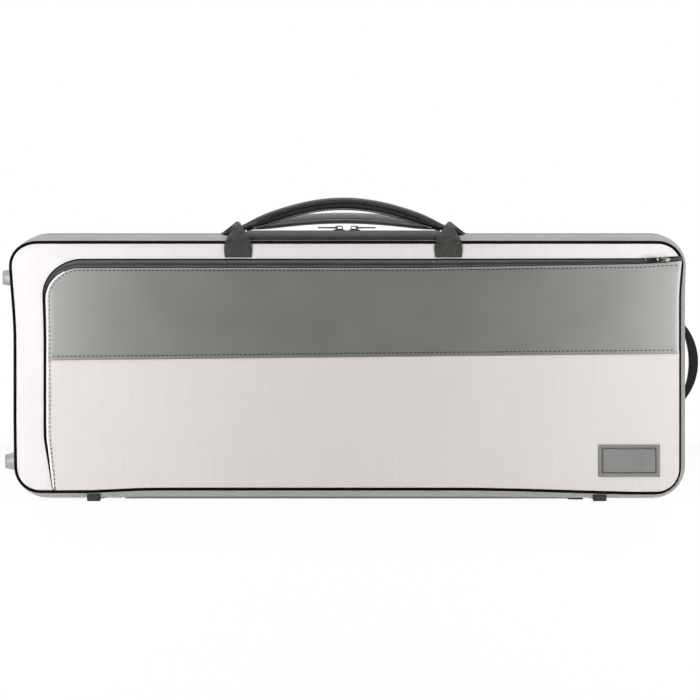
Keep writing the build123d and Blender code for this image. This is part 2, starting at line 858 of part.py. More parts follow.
def bow_turn(side):
    """Returns the turning clip that holds a bow's stick."""
    z = mid_z + side * bow_spread
    low = lid_floor_y() + running_gap
    end = low + bow_shaft_length
    shaft = slab(Pos(bow_turn_x, z) * Circle(bow_shaft_radius), low, end)
    corners = Rectangle(bow_bar_width, bow_bar_length).vertices()
    bar = Pos(bow_turn_x, z) * chamfer(corners, bow_bar_corner)
    return shaft + slab(bar, end - overrun, end - overrun + bow_bar_height)


def bow_sleeves():
    """Returns the two sleeves for the bows' tips, open towards the turns."""
    low = lid_floor_y()
    sleeves = []
    for side in (1, -1):
        z = mid_z + side * bow_spread
        shape = chamfer(Rectangle(sleeve_length, sleeve_width).vertices(), sleeve_corner)
        body = slab(Pos(sleeve_x, z) * shape, low, low + sleeve_height)
        half = sleeve_width / 2 - sleeve_wall
        start, end = sleeve_x - sleeve_length, sleeve_x + sleeve_length / 2 - sleeve_wall
        body -= block((start, low + sleeve_wall, z - half), (end, low + sleeve_height - sleeve_wall, z + half))
        sleeves.append(body)
    return sleeves[0] + sleeves[1]


def lid_pieces():
    """Returns the lid's pieces by node name."""
    y, z = pivot("lid")
    pieces = {
        "lid_shell": shell("lid"),
        "lid_face_panel": face_panel("lid"),
        "front_piping": piping("lid"),
        "lid_zip_tape": zip_tape("lid"),
        "lid_hinge_leaf": hinge_leaf("lid"),
        "lid_stand_feet": stand_feet("lid", lid_foot_depth),
        "lid_end_feet": end_feet("lid", lid_end_foot_depth),
        "lid_top_patch": top_patch("lid", lid_patch_end),
        "front_handle": Pos(handle_middle, y, z) * handle(),
        "pocket_zip_tape": pocket_zip_tape(),
        "pocket_leather_band": pocket_panel(True),
        "pocket_cloth_panel": pocket_panel(False),
        "badge_patch": badge(),
        "pocket_slider": pocket_slider_place() * slider(1),
        "pocket_puller": pocket_slider_place() * puller(),
        "lid_lining": lid_lining(),
        "bow_mounts": bow_mounts(),
        "bow_tip_sleeves": bow_sleeves(),
    }
    for name, side in (("left", -1), ("right", 1)):
        pieces[f"front_tab_{name}"] = tab("lid", side)
    for name, side in (("upper", 1), ("lower", -1)):
        pieces[f"bow_turn_{name}"] = bow_turn(side)
    return pieces


def base_pieces():
    """Returns the base's pieces by node name."""
    y, z = pivot("base")
    low_x, high_x = bout_centres()
    pieces = {
        "base_shell": shell("base"),
        "base_back_panel": face_panel("base"),
        "rear_piping": piping("base"),
        "base_zip_tape": zip_tape("base"),
        "base_hinge_leaf": hinge_leaf("base"),
        "base_stand_feet": stand_feet("base", base_foot_depth),
        "base_end_feet": end_feet("base", base_end_foot_depth),
        "base_top_patch": top_patch("base", base_patch_end),
        "rear_handle": Pos(handle_middle, y, z) * Rot(X=-rear_handle_lean) * handle(),
        "zip_stop_tab": stop_tab(),
        "end_handle": end_handle(),
        "dust_valance": valance(),
        "base_lining": base_lining(),
        "lower_bout_cushion": cushion(low_x, *lower_cushion_size),
        "upper_bout_cushion": cushion(high_x, *upper_cushion_size),
        "neck_cushion": neck_cushion(),
        "ring_tabs": ring_tabs(),
    }
    for name, side in (("left", -1), ("right", 1)):
        pieces[f"rear_tab_{name}"] = tab("base", side)
        pieces[f"zip_slider_{name}"] = main_slider_place(side) * slider(side)
        pieces[f"zip_puller_{name}"] = main_slider_place(side) * puller()
    for name, side in (("upper", 1), ("lower", -1)):
        pieces[f"nest_{name}"] = nest(side)
        pieces[f"tray_{name}"] = tray(side)
        pieces[f"tray_lid_{name}"] = tray_lid(side)
        pieces[f"neck_strap_{name}"] = neck_strap(side)
    for number, (x, z) in enumerate(ring_places(), 1):
        pieces[f"carrying_ring_{number}"] = carrying_ring(x, z)
    return pieces


def box_middle():
    """Returns X of the middle between the end feet's tips and the end handle's top."""
    left = face_left - end_foot_height
    right = face_right + spare(end_handle_depth / depth_of["base"]) + end_handle_reach
    return (left + right) / 2


def main():
    """Writes each piece to its own file in parts, moved so that the origin is mid-box."""
    os.makedirs("parts", exist_ok=True)
    for name, piece in {**lid_pieces(), **base_pieces()}.items():
        export_step(Pos(-box_middle()) * piece, f"parts/{name}.step")


if __name__ == "__main__":
    main()
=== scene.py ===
"""Looks of an oblong viola case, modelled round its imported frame.

Everything is in metres in the case's own frame: +X towards the scroll end, +Y from the
lid's face to the back and +Z up, with the origin on the floor in the middle.
"""

import json
import logging
import math
from collections.abc import Callable, Iterable, Sequence
from dataclasses import dataclass, field
from enum import Enum

import bmesh
import bpy
import numpy as np
from mathutils import Matrix, Vector


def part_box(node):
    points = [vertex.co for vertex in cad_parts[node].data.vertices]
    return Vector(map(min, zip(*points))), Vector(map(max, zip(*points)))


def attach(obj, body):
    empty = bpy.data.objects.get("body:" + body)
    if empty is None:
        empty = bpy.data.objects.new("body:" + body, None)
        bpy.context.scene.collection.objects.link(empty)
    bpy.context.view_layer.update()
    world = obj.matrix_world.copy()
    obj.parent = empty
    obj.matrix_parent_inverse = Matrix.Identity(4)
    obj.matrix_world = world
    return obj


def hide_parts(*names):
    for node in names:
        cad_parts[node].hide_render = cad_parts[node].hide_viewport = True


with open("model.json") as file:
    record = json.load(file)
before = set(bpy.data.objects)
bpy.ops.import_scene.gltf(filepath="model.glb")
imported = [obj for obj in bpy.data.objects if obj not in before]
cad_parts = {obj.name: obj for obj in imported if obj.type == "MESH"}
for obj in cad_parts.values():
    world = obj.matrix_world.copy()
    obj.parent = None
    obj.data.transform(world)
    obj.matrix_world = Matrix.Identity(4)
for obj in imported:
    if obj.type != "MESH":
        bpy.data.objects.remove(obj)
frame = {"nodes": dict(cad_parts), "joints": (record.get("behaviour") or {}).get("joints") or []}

LOG = logging.getLogger("viola_case")
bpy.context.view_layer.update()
BACK = Vector((0, 1, 0))
FRONT = Vector((0, -1, 0))
RIGHT = Vector((1, 0, 0))

SAME = 0.0001  # Depths nearer than this count as one.
TINY = 1e-9  # Lengths below this count as none.
ROUND = {"angle": 50.0, "smooth": 50.0}  # How soft, rounded pieces are edged and shaded.

Point = Vector | Sequence[float]
Triple = tuple[float, float, float]


class Slot(Enum):
    """The record's material slots."""

    SIDE = "side_leather"
    CLOTH = "face_cloth"
    PIPING = "piping"
    TAPE = "zip_tape"
    DARK = "dark_leather"
    GREY = "grey_leather"
    RUBBER = "foot_rubber"
    PLASTIC = "foot_plastic"
    METAL = "zip_metal"
    WEBBING = "webbing"
    LINING = "lining_cloth"
    VELVET = "nest_velvet"
    CLIP = "clip_plastic"


class Kind(Enum):
    """What a pick looks at: Blender's word for it, its list and what a test is given."""

    VERTS = ("VERT", "verts", lambda vert: (vert.co,))
    EDGES = ("EDGE", "edges", lambda edge: (edge.verts[0].co, edge.verts[1].co))
    FACES = ("FACE", "faces", lambda face: (face.calc_center_median(), face.normal))


def linear(tone: Triple, share: float) -> tuple[float, ...]:
    """Turns a screen colour, 0 to 255, times a share into the sRGB standard's linear one."""
    parts = [min(255, channel * share) / 255 for channel in tone]
    return (*(p / 12.92 if p < 0.04045 else ((p + 0.055) / 1.055) ** 2.4 for p in parts), 1.0)


# Shading


class Link:
    """A shader socket that sums are written with."""

    def __init__(self, shade: "Shade", socket: bpy.types.NodeSocket) -> None:
        """Keeps the socket with the nodes that it belongs to."""
        self.shade = shade
        self.socket = socket

    def sum(self, operation: str, *others: "Link | float") -> "Link":
        """Returns the result of a Math node's operation on this and other values."""
        return self.shade.value("ShaderNodeMath", dict(enumerate((self, *others))), {"operation": operation})

    def __add__(self, other: "Link | float") -> "Link":
        """Adds."""
        return self.sum("ADD", other)

    def __sub__(self, other: "Link | float") -> "Link":
        """Takes away."""
        return self.sum("SUBTRACT", other)

    def __mul__(self, other: "Link | float") -> "Link":
        """Multiplies."""
        return self.sum("MULTIPLY", other)


class Shade:
    """The nodes of one material or world, built by short calls."""

    def __init__(self, owner: bpy.types.Material | bpy.types.World) -> None:
        """Starts with the Object coordinates alone."""
        owner.use_nodes = True
        self.owner, self.tree = owner, owner.node_tree
        self.tree.nodes.clear()
        self.place = self.value("ShaderNodeTexCoord", output="Object")
        parts = self.node("ShaderNodeSeparateXYZ", {0: self.place})
        self.x, self.y, self.z = (Link(self, socket) for socket in parts.outputs)

    def node(self, kind: str, sockets: dict | None = None, settings: dict | None = None) -> bpy.types.Node:
        """Adds one node.

        Args:
            kind: The node's type.
            sockets: The values or links of its inputs, by name or number.
            settings: Its settings by name, set first.

        Returns:
            The node.
        """
        node = self.tree.nodes.new(kind)
        for name, value in (settings or {}).items():
            setattr(node, name, value)
        for key, value in (sockets or {}).items():
            if isinstance(value, Link):
                self.tree.links.new(value.socket, node.inputs[key])
            else:
                node.inputs[key].default_value = value
        return node

    def value(
        self, kind: str, sockets: dict | None = None, settings: dict | None = None, output: int | str = 0
    ) -> Link:
        """Adds one node as above and returns one of its outputs."""
        return Link(self, self.node(kind, sockets, settings).outputs[output])

    def end(self, kind: str, last: bpy.types.Node) -> None:
        """Adds the output of a kind and links the last node to it."""
        self.tree.links.new(last.outputs[0], self.node(kind).inputs[0])

    def noise(self, size: float, detail: float = 2.0, stretch: Triple = (1, 1, 1)) -> Link:
        """Returns soft noise.

        Args:
            size: The size of its spots in metres.
            detail: How many finer layers it has.
            stretch: What each axis is multiplied by.

        Returns:
            A value of about 0.3 to 0.7.
        """
        place = self.value("ShaderNodeVectorMath", {0: self.place, 1: stretch}, {"operation": "MULTIPLY"})
        return self.value("ShaderNodeTexNoise", {"Vector": place, "Scale": 1 / size, "Detail": detail})

    def cells(self, size: float) -> Link:
        """Returns the distance to the edges of random cells of a size, in cells."""
        sockets = {"Vector": self.place, "Scale": 1 / size}
        return self.value("ShaderNodeTexVoronoi", sockets, {"feature": "DISTANCE_TO_EDGE"}, "Distance")

    def wave(self, along: Link, pitch: float) -> Link:
        """Returns a sine of a pitch along a value in metres, from 0 to 1."""
        return (along * (2 * math.pi / pitch)).sum("SINE") * 0.5 + 0.5

    def tint(self, share: Link, tone: Triple, low: float, high: float) -> Link:
        """Returns a screen colour that gets from low times to high times as bright with a share."""
        first, second, result = 6, 7, 2  # The numbers of the colour sockets among all of the node's.
        sockets = {0: share, first: linear(tone, low), second: linear(tone, high)}
        return self.value("ShaderNodeMix", sockets, {"data_type": "RGBA", "clamp_factor": True}, result)

    def relief(self, height: Link, depth: float, strength: float = 1.0, under: Link | None = None) -> Link:
        """Returns the normal of a raised surface.

        Args:
            height: The height, from 0 to 1.
            depth: How deep that is in metres.
            strength: How much of it shows.
            under: A relief that it lies on.

        Returns:
            The normal.
        """
        below = {"Normal": under} if under else {}
        return self.value("ShaderNodeBump", {"Height": height, "Distance": depth, "Strength": strength, **below})

    def surface(self, colour: Link, rough: Link | float, normal: Link, **fixed: float) -> bpy.types.Material:
        """Ends the material.

        Args:
            colour: The base colour.
            rough: The roughness.
            normal: The normal.
            **fixed: Other sockets of the shader by name, with _ for a space.

        Returns:
            The material.
        """
        sockets = {"Base Color": colour, "Roughness": rough, "Normal": normal}
        sockets |= {name.replace("_", " "): value for name, value in fixed.items()}
        self.end("ShaderNodeOutputMaterial", self.node("ShaderNodeBsdfPrincipled", sockets))
        return self.owner


@dataclass(frozen=True)
class Finish:
    """What every finish has: a name, the slot that it fills, its colour and how uneven that is."""

    name: str
    slot: Slot
    tone: Triple
    spread: float = 0.1

    def material(self) -> bpy.types.Material:
        """Returns the material, made at its first use."""
        return bpy.data.materials.get(self.name) or self.make(Shade(bpy.data.materials.new(self.name)))

    def make(self, shade: Shade) -> bpy.types.Material:
        """Builds the nodes; each finish has its own."""
        raise NotImplementedError

    def colour(self, shade: Shade, share: Link) -> Link:
        """Returns the colour, darker and lighter by the spread."""
        return shade.tint(share, self.tone, 1 - self.spread, 1 + self.spread)


@dataclass(frozen=True)
class Canvas(Finish):
    """Woven cloth whose threads run along X and Z."""

    spread: float = 0.035
    pitch: float = 0.0009

    def make(self, shade: Shade) -> bpy.types.Material:
        """Builds the weave, thread by thread streaks and faint clouds."""
        weave = shade.wave(shade.x, self.pitch) * shade.wave(shade.z, self.pitch)
        warp = shade.noise(0.0016, 1.0, (1, 1, 0.02))
        weft = shade.noise(0.0016, 1.0, (0.02, 1, 1))
        cloud = shade.noise(0.09)
        share = warp * 0.5 + weft * 0.2 + cloud * 0.35 + weave * 0.25 - 0.15
        puckers = shade.relief(shade.noise(0.035), 0.0006, 0.35)
        threads = shade.relief(weave + (warp + weft) * 0.5, 0.00012, 0.7, puckers)
        return shade.surface(self.colour(shade, share), 0.82, threads, Sheen_Weight=0.12, Specular_IOR_Level=0.3)


@dataclass(frozen=True)
class Hide(Finish):
    """Real or artificial leather."""

    rough: float = 0.42
    grain: float = 0.0011
    depth: float = 0.00008
    gloss: float = 0.5
    coat: float = 0.0
    fold: float = 0.012
    fold_depth: float = 0.0004

    def make(self, shade: Shade) -> bpy.types.Material:
        """Builds pores between pebbles, soft blotches and uneven gloss."""
        pebbles = (shade.cells(self.grain) * 5).sum("MINIMUM", 1)
        fine = shade.noise(self.grain * 0.6, 3.0)
        blotch = shade.noise(0.045, 3.0)
        colour = self.colour(shade, pebbles * 0.3 + blotch * 1.1 - 0.2)
        rough = blotch * 0.14 + fine * 0.08 + (self.rough - 0.11)
        creases = shade.relief(shade.noise(self.fold, 3.0), self.fold_depth, 0.3)
        normal = shade.relief(pebbles + fine * 0.6, self.depth, 0.8, creases)
        coat = {"Coat_Weight": self.coat, "Coat_Roughness": self.rough, "Coat_IOR": 1.9}
        return shade.surface(colour, rough, normal, Specular_IOR_Level=self.gloss, **coat)


@dataclass(frozen=True)
class Pile(Finish):
    """Velvet or short pile."""

    spread: float = 0.16

    def make(self, shade: Shade) -> bpy.types.Material:
        """Builds tufts and the lighter ways in which the pile lies."""
        tufts = shade.noise(0.0011, 3.0)
        lay = shade.noise(0.05, 3.0, (1, 1, 0.5))
        colour = self.colour(shade, tufts * 0.9 + lay * 1.3 - 0.6)
        normal = shade.relief(tufts, 0.0005, 0.9, shade.relief(lay, 0.002, 0.3))
        return shade.surface(colour, 0.95, normal, Sheen_Weight=0.15, Sheen_Roughness=0.5, Specular_IOR_Level=0.2)


@dataclass(frozen=True)
class Band(Finish):
    """Woven tape or webbing with ribs across and a twill between."""

    rib: float = 0.0016
    twill: float = 0.0011

    def make(self, shade: Shade) -> bpy.types.Material:
        """Builds ribs in all three directions, so that they show on any side."""
        ribs = shade.wave(shade.x + shade.z, self.rib) * shade.wave(shade.y + shade.z - shade.x, self.twill)
        fuzz = shade.noise(0.0012)
        colour = shade.tint(ribs * 0.7 + fuzz * 0.8 - 0.3, self.tone, 0.75, 1.3)
        return shade.surface(colour, 0.75, shade.relief(ribs + fuzz * 0.3, 0.0002, 0.8), Specular_IOR_Level=0.3)


@dataclass(frozen=True)
class Moulded(Finish):
    """Plastic or rubber from a mould."""

    rough: float = 0.5

    def make(self, shade: Shade) -> bpy.types.Material:
        """Builds a fine spark texture with rubbed patches."""
        rubbed = shade.noise(0.012, 3.0)
        colour = shade.tint(rubbed * 1.4 - 0.2, self.tone, 0.9, 1.12)
        rough = rubbed * 0.2 + (self.rough - 0.1)
        return shade.surface(colour, rough, shade.relief(shade.noise(0.0009), 0.00006, 0.6))


@dataclass(frozen=True)
class Plated(Finish):
    """Nickel plate with fine scratches."""

    rough: float = 0.24

    def make(self, shade: Shade) -> bpy.types.Material:
        """Builds brushed lines and duller spots."""
        lines = shade.noise(0.0006, stretch=(0.08, 1, 1))
        dull = shade.noise(0.006)
        rough = lines * 0.12 + dull * 0.16 + (self.rough - 0.14)
        normal = shade.relief(lines, 0.00002, 0.4)
        return shade.surface(shade.tint(dull, self.tone, 0.88, 1), rough, normal, Metallic=1.0)


@dataclass(frozen=True)
class Finishes:
    """Every finish of the case."""

    cloth: Finish = Canvas("silver_canvas", Slot.CLOTH, (214, 210, 210))
    pocket_cloth: Finish = Canvas("pocket_canvas", Slot.CLOTH, (201, 196, 193))
    # Near-white cloth for the cord at the pocket's left edge; its tone is a painted highlight.
    edge: Finish = Canvas("pocket_edge_highlight_cloth", Slot.CLOTH, (236, 234, 230))
    band: Finish = Hide(
        "pocket_leather", Slot.GREY, (96, 98, 91), 0.06, rough=0.36, grain=0.0007, depth=0.00002, gloss=1.0, coat=1.0
    )
    badge: Finish = Hide("badge_leather", Slot.GREY, (112, 112, 111), rough=0.5, grain=0.0008)
    side: Finish = Hide("side_leather_cloth", Slot.SIDE, (150, 150, 148), 0.06, depth=0.00005, gloss=0.4)
    handle: Finish = Hide(
        "rolled_leather", Slot.DARK, (15, 14, 13), rough=0.26, grain=0.0009, depth=0.00005, gloss=0.6
    )
    # The rear handle's leather is toned light grey where the front one is near black: painted light on the
    # leaned-back handle's top.
    rear_handle: Finish = Hide(
        "rear_rolled_leather_painted_light", Slot.GREY, (112, 113, 109), rough=0.34, grain=0.0009, depth=0.00005
    )
    tab: Finish = Hide(
        "tab_leather", Slot.DARK, (27, 26, 22), 0.9,
        rough=0.28, grain=0.0016, depth=0.0002, fold=0.007, fold_depth=0.004,
    )
    # Dark leather for the top patches between the tabs; its tone is made darker still to paint the shade that the
    # handles cast there.
    shaded_patch: Finish = Hide("patch_leather_painted_shade", Slot.DARK, (44, 45, 42), rough=0.5, gloss=0.25)
    hinge: Finish = Hide("hinge_leather_cloth", Slot.GREY, (96, 97, 94), rough=0.5)
    piping: Finish = Hide(
        "piping_leather_cloth", Slot.PIPING, (7, 7, 7), rough=0.7, grain=0.0006, depth=0.00003, gloss=0.06
    )
    tape: Finish = Band("zip_tape_weave", Slot.TAPE, (82, 88, 88))
    dark_thread: Finish = Band("dark_thread", Slot.TAPE, (40, 42, 40), rib=0.0006)
    light_thread: Finish = Band("light_thread", Slot.GREY, (176, 176, 168), rib=0.0006)
    webbing: Finish = Band("end_handle_webbing", Slot.WEBBING, (17, 17, 18), rib=0.0022, twill=0.0014)
    metal: Finish = Plated("nickel_plate", Slot.METAL, (108, 108, 107))
    teeth: Finish = Moulded("zip_teeth_nylon", Slot.TAPE, (30, 33, 33), rough=0.34)
    foot: Finish = Moulded("end_foot_plastic", Slot.PLASTIC, (150, 151, 149), rough=0.26)
    rubber: Finish = Moulded("stand_foot_rubber", Slot.RUBBER, (38, 38, 38), rough=0.7)
    clip: Finish = Moulded("bow_clip_plastic", Slot.CLIP, (34, 34, 35), rough=0.45)
    lining: Finish = Pile("short_pile_lining", Slot.LINING, (136, 136, 140))
    velvet: Finish = Pile("nest_velvet", Slot.VELVET, (54, 55, 62))
    strap: Finish = Pile("strap_velvet", Slot.DARK, (44, 44, 47))


FINISH = Finishes()


# Modelling


def placed(name: str, data: bpy.types.ID) -> bpy.types.Object:
    """Returns a new object in the scene that shows some data."""
    obj = bpy.data.objects.new(name, data)
    bpy.context.scene.collection.objects.link(obj)
    return obj


class Mould:
    """A piece that is shaped with Blender's own tools."""

    def __init__(self, obj: bpy.types.Object, name: str) -> None:
        """Takes an object over and names it."""
        self.obj = obj
        self.obj.name = self.obj.data.name = name

    @staticmethod
    def clear() -> None:
        """Leaves edit mode and deselects everything."""
        if bpy.context.mode != "OBJECT":
            bpy.ops.object.mode_set(mode="OBJECT")
        bpy.ops.object.select_all(action="DESELECT")

    def focus(self) -> "Mould":
        """Leaves edit mode and selects this piece alone."""
        self.clear()
        bpy.context.view_layer.objects.active = self.obj
        self.obj.select_set(True)
        return self

    @classmethod
    def cube(cls, name: str, low: Point, high: Point) -> "Mould":
        """Adds a box between two corners."""
        cls.clear()
        low, high = Vector(low), Vector(high)
        bpy.ops.mesh.primitive_cube_add(size=1, location=(low + high) / 2, scale=high - low)
        return cls(bpy.context.object, name).settle()

    @classmethod
    def cone(cls, name: str, foot: Point, way: Point, radii: tuple[float, float], sides: int) -> "Mould":
        """Adds a cone.

        Args:
            name: The piece's name.
            foot: The middle of its first end.
            way: From there to the middle of its second end.
            radii: The radius at each end.
            sides: How many sides it has.

        Returns:
            The piece.
        """
        cls.clear()
        way = Vector(way)
        bpy.ops.mesh.primitive_cone_add(
            vertices=sides, radius1=radii[0], radius2=radii[1], depth=way.length,
            location=Vector(foot) + way / 2, rotation=way.to_track_quat("Z", "Y").to_euler(),
        )
        return cls(bpy.context.object, name).settle()

    @classmethod
    def tube(
        cls, name: str, points: Sequence[Point], radius: float, closed: bool = False, shares: Sequence[float] = ()
    ) -> "Mould":
        """Adds a round cord along points.

        Args:
            name: The piece's name.
            points: The points that it follows.
            radius: Its radius.
            closed: Whether it ends where it starts.
            shares: A share of the radius at each point.

        Returns:
            The piece.
        """
        curve = bpy.data.curves.new(name, "CURVE")
        curve.dimensions, curve.bevel_depth, curve.bevel_resolution = "3D", radius, 4
        curve.use_fill_caps = not closed
        spline = curve.splines.new("POLY")
        spline.points.add(len(points) - 1)
        for index, point in enumerate(points):
            spline.points[index].co = (*point, 1)
            spline.points[index].radius = shares[index] if shares else 1
        spline.use_cyclic_u = closed
        cls(placed(name, curve), name).focus()
        bpy.ops.object.convert(target="MESH")
        return cls(bpy.context.object, name)

    @classmethod
    def ported(cls, name: str, points: np.ndarray, faces: Sequence[Sequence[int]]) -> "Mould":
        """Adds a mesh from points and faces."""
        mesh = bpy.data.meshes.new(name)
        mesh.from_pydata([tuple(point) for point in points], [], faces)
        return cls(placed(name, mesh), name)

    @classmethod
    def lofted(cls, name: str, rings: np.ndarray) -> "Mould":
        """Adds a closed skin through rings that have as many points each."""
        count, size = rings.shape[:2]
        faces = [tuple(range(size)), tuple((count - 1) * size + i for i in reversed(range(size)))]
        for low in range(0, (count - 1) * size, size):
            for here in range(size):
                after = (here + 1) % size
                faces.append((low + after, low + here, low + size + here, low + size + after))
        return cls.ported(name, rings.reshape(-1, 3), faces).outward()

    @classmethod
    def fitted(cls, node: str, name: str, flat: float = 1.0) -> "Mould":
        """Adds a merged copy of a node's own form, to be refined.

        Args:
            node: The node.
            name: The piece's name.
            flat: Faces within this many degrees of each other become one.

        Returns:
            The piece.
        """
        mesh = frame["nodes"][node].data.copy()
        mesh.materials.clear()
        if normals := mesh.attributes.get("custom_normal"):
            mesh.attributes.remove(normals)
        piece = cls(placed(name, mesh), name).pick(Kind.VERTS)
        bpy.ops.mesh.remove_doubles(threshold=0.00001)
        bpy.ops.mesh.dissolve_limited(angle_limit=math.radians(flat))
        return piece

    @classmethod
    def plain(
        cls, node: str, word: str, finish: Finish, body: str, edge: float, steps: int = 3,
        angle: float = 35.0, smooth: float = 40.0, flat: float = 1.0, fill: float = 0.0,
    ) -> None:
        """Adds a whole piece that keeps its node's own form and has softer edges.

        Args:
            node: The node.
            word: What its name ends with.
            finish: Its finish.
            body: The body that it rides on.
            edge: The width of its rounded edges.
            steps: The steps of each.
            angle: Edges sharper than this many degrees are rounded.
            smooth: Edges below this angle in degrees are shaded smooth.
            flat: Faces within this many degrees of each other become one.
            fill: How full its padding is, or 0 if it has none; not used.
        """
        piece = cls.fitted(node, f"{node}_{word}", flat).soften(edge, steps, angle)
        piece.dress(finish, body, [node], smooth=smooth)

    def sliced(self, xs: Iterable[float], zs: Iterable[float]) -> "Mould":
        """Cuts the whole piece across at places in X and Z, so that it can bend there."""
        for x in xs:
            self.cut((x, 0, 0), (1, 0, 0))
        for z in zs:
            self.cut((0, 0, z), (0, 0, 1))
        return self

    def moved(self, rule: Callable[[np.ndarray], np.ndarray]) -> "Mould":
        """Moves every point by a rule."""
        self.clear()
        points = np.array([vert.co for vert in self.obj.data.vertices])
        self.obj.data.vertices.foreach_set("co", rule(points).ravel())
        self.obj.data.update()
        return self

    def settle(self) -> "Mould":
        """Puts the object's place into its mesh."""
        self.focus()
        bpy.ops.object.transform_apply(location=True, rotation=True, scale=True)
        return self

    def pick(self, kind: Kind, test: Callable | None = None) -> "Mould":
        """Selects in edit mode.

        Args:
            kind: What is looked at.
            test: For faces a test of the middle and the normal, for edges of the two ends,
                for points of the place; all are taken without one.

        Returns:
            The piece.
        """
        word, items, given = kind.value
        if bpy.context.mode != "EDIT_MESH" or bpy.context.object != self.obj:
            self.focus()
            bpy.ops.object.mode_set(mode="EDIT")
        bpy.ops.mesh.select_mode(type=word)
        bpy.ops.mesh.select_all(action="DESELECT" if test else "SELECT")
        if test:
            mesh = bmesh.from_edit_mesh(self.obj.data)
            mesh.normal_update()
            for item in getattr(mesh, items):
                item.select_set(bool(test(*given(item))))
            bmesh.update_edit_mesh(self.obj.data)
        return self

    def bevel(self, width: float, steps: int = 3) -> "Mould":
        """Rounds the picked edges."""
        bpy.ops.mesh.bevel(offset=width, segments=steps, affect="EDGES", clamp_overlap=True)
        return self

    def crowned(self, width: float, steps: int = 1) -> "Mould":
        """Rounds the upper edges of a small model that lies round the origin."""
        return self.pick(Kind.EDGES, lambda a, b: a.z > 0 and b.z > 0).bevel(width, steps)

    def inset(self, *steps: tuple[float, float]) -> "Mould":
        """Sets the picked faces in by a width and raises them, once for each step."""
        for width, rise in steps:
            bpy.ops.mesh.inset(thickness=width, depth=rise)
        return self

    def extrude(self, way: Point) -> "Mould":
        """Extrudes the picked faces."""
        bpy.ops.mesh.extrude_region_move(TRANSFORM_OT_translate={"value": tuple(way)})
        return self

    def shift(self, way: Point) -> "Mould":
        """Moves what is picked."""
        bpy.ops.transform.translate(value=tuple(way))
        return self

    def resize(self, shares: Point, centre: Point) -> "Mould":
        """Resizes what is picked about a centre."""
        bpy.ops.transform.resize(value=tuple(shares), center_override=tuple(centre))
        return self

    def cut(self, place: Point, normal: Point) -> None:
        """Cuts the whole piece by a plane."""
        self.pick(Kind.FACES)
        bpy.ops.mesh.bisect(plane_co=tuple(place), plane_no=tuple(normal))

    def outward(self) -> "Mould":
        """Merges doubles and turns every face outwards."""
        self.pick(Kind.FACES)
        bpy.ops.mesh.remove_doubles(threshold=0.000005)
        bpy.ops.mesh.normals_make_consistent(inside=False)
        return self

    def modify(self, kind: str, **settings: object) -> "Mould":
        """Adds a modifier and applies it."""
        modifier = self.focus().obj.modifiers.new(kind.title(), kind)
        for name, value in settings.items():
            setattr(modifier, name, value)
        bpy.ops.object.modifier_apply(modifier=modifier.name)
        return self

    def soften(self, width: float, steps: int = 2, angle: float = 35.0) -> "Mould":
        """Rounds every edge sharper than an angle in degrees."""
        limit = {"limit_method": "ANGLE", "angle_limit": math.radians(angle)}
        return self.modify("BEVEL", width=width, segments=steps, use_clamp_overlap=True, **limit)

    def dress(self, finish: Finish, body: str, replaces: Iterable[str] = (), smooth: float = 40.0) -> "Mould":
        """Ends the piece: shading, material and the body that it rides on.

        Args:
            finish: Its finish.
            body: The body.
            replaces: The nodes that it stands for.
            smooth: Edges below this angle in degrees are shaded smooth.

        Returns:
            The piece.
        """
        self.focus()
        bpy.ops.object.shade_smooth_by_angle(angle=math.radians(smooth))
        if not self.obj.data.materials:
            self.obj.data.materials.append(finish.material())
        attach(self.obj, body)
        if replaces:
            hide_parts(*replaces)
        LOG.info("%s: %d faces on %s", self.obj.name, len(self.obj.data.polygons), body)
        return self


def repeated(name: str, model: Mould, places: Sequence[Matrix]) -> Mould:
    """Copies a small model to each place, as one mesh, and removes the model."""
    Mould.clear()
    mesh = model.obj.data
    points = np.array([vert.co for vert in mesh.vertices])
    faces = [tuple(face.vertices) for face in mesh.polygons]
    verts, rows = [], []
    for count, place in enumerate(places):
        verts.append(points @ np.array(place.to_3x3()).T + np.array(place.translation))
        rows.extend(tuple(index + count * len(points) for index in face) for face in faces)
    bpy.data.objects.remove(model.obj)
    return Mould.ported(name, np.concatenate(verts), rows)


def spaced(points: Sequence[Point], pitch: float, out: Vector | None = None, skip: float = 0.0) -> list[Matrix]:
    """Returns evenly spaced places along points.

    Args:
        points: The points.
        pitch: The distance from place to place.
        out: What each place's Z points along; without it, square to the route and to Y.
        skip: How far from the start the first one is.

    Returns:
        The places, each with its X along the route.
    """
    line = [Vector(point) for point in points]
    places, due = [], skip
    for start, end in zip(line, line[1:]):
        run = (end - start).length
        if run < TINY:
            continue
        along = (end - start) / run
        up = out or along.cross(BACK).normalized()
        turn = Matrix((along, up.cross(along).normalized(), up)).transposed().to_4x4()
        while due <= run:
            places.append(Matrix.Translation(start + along * due) @ turn)
            due += pitch
        due -= run
    return places


def resampled(points: Sequence[Point], pitch: float, closed: bool = False) -> list[Vector]:
    """Returns points evenly spaced along others, about a pitch apart."""
    line = [Vector(point) for point in points] + ([Vector(points[0])] if closed else [])
    runs = np.cumsum([0.0] + [(b - a).length for a, b in zip(line, line[1:])])
    count = max(2, round(float(runs[-1]) / pitch))
    due = np.linspace(0, runs[-1], count + 1)[: count if closed else count + 1]
    rows = [np.interp(due, runs, [point[axis] for point in line]) for axis in range(3)]
    return [Vector(row) for row in zip(*rows)]


def arc(centre: tuple[float, float], radius: float, start: float, end: float, steps: int, y: float) -> list[Vector]:
    """Returns points of an arc in X and Z, between two angles in degrees."""
    turns = [math.radians(start + (end - start) * step / steps) for step in range(steps + 1)]
    return [Vector((centre[0] + radius * math.cos(t), y, centre[1] + radius * math.sin(t))) for t in turns]


def rectangle(left: float, right: float, low: float, high: float, y: float) -> list[Vector]:
    """Returns the corners of an upright rectangle, round to the first one again."""
    corners = ((left, high), (right, high), (right, low), (left, low), (left, high))
    return [Vector((x, y, z)) for x, z in corners]


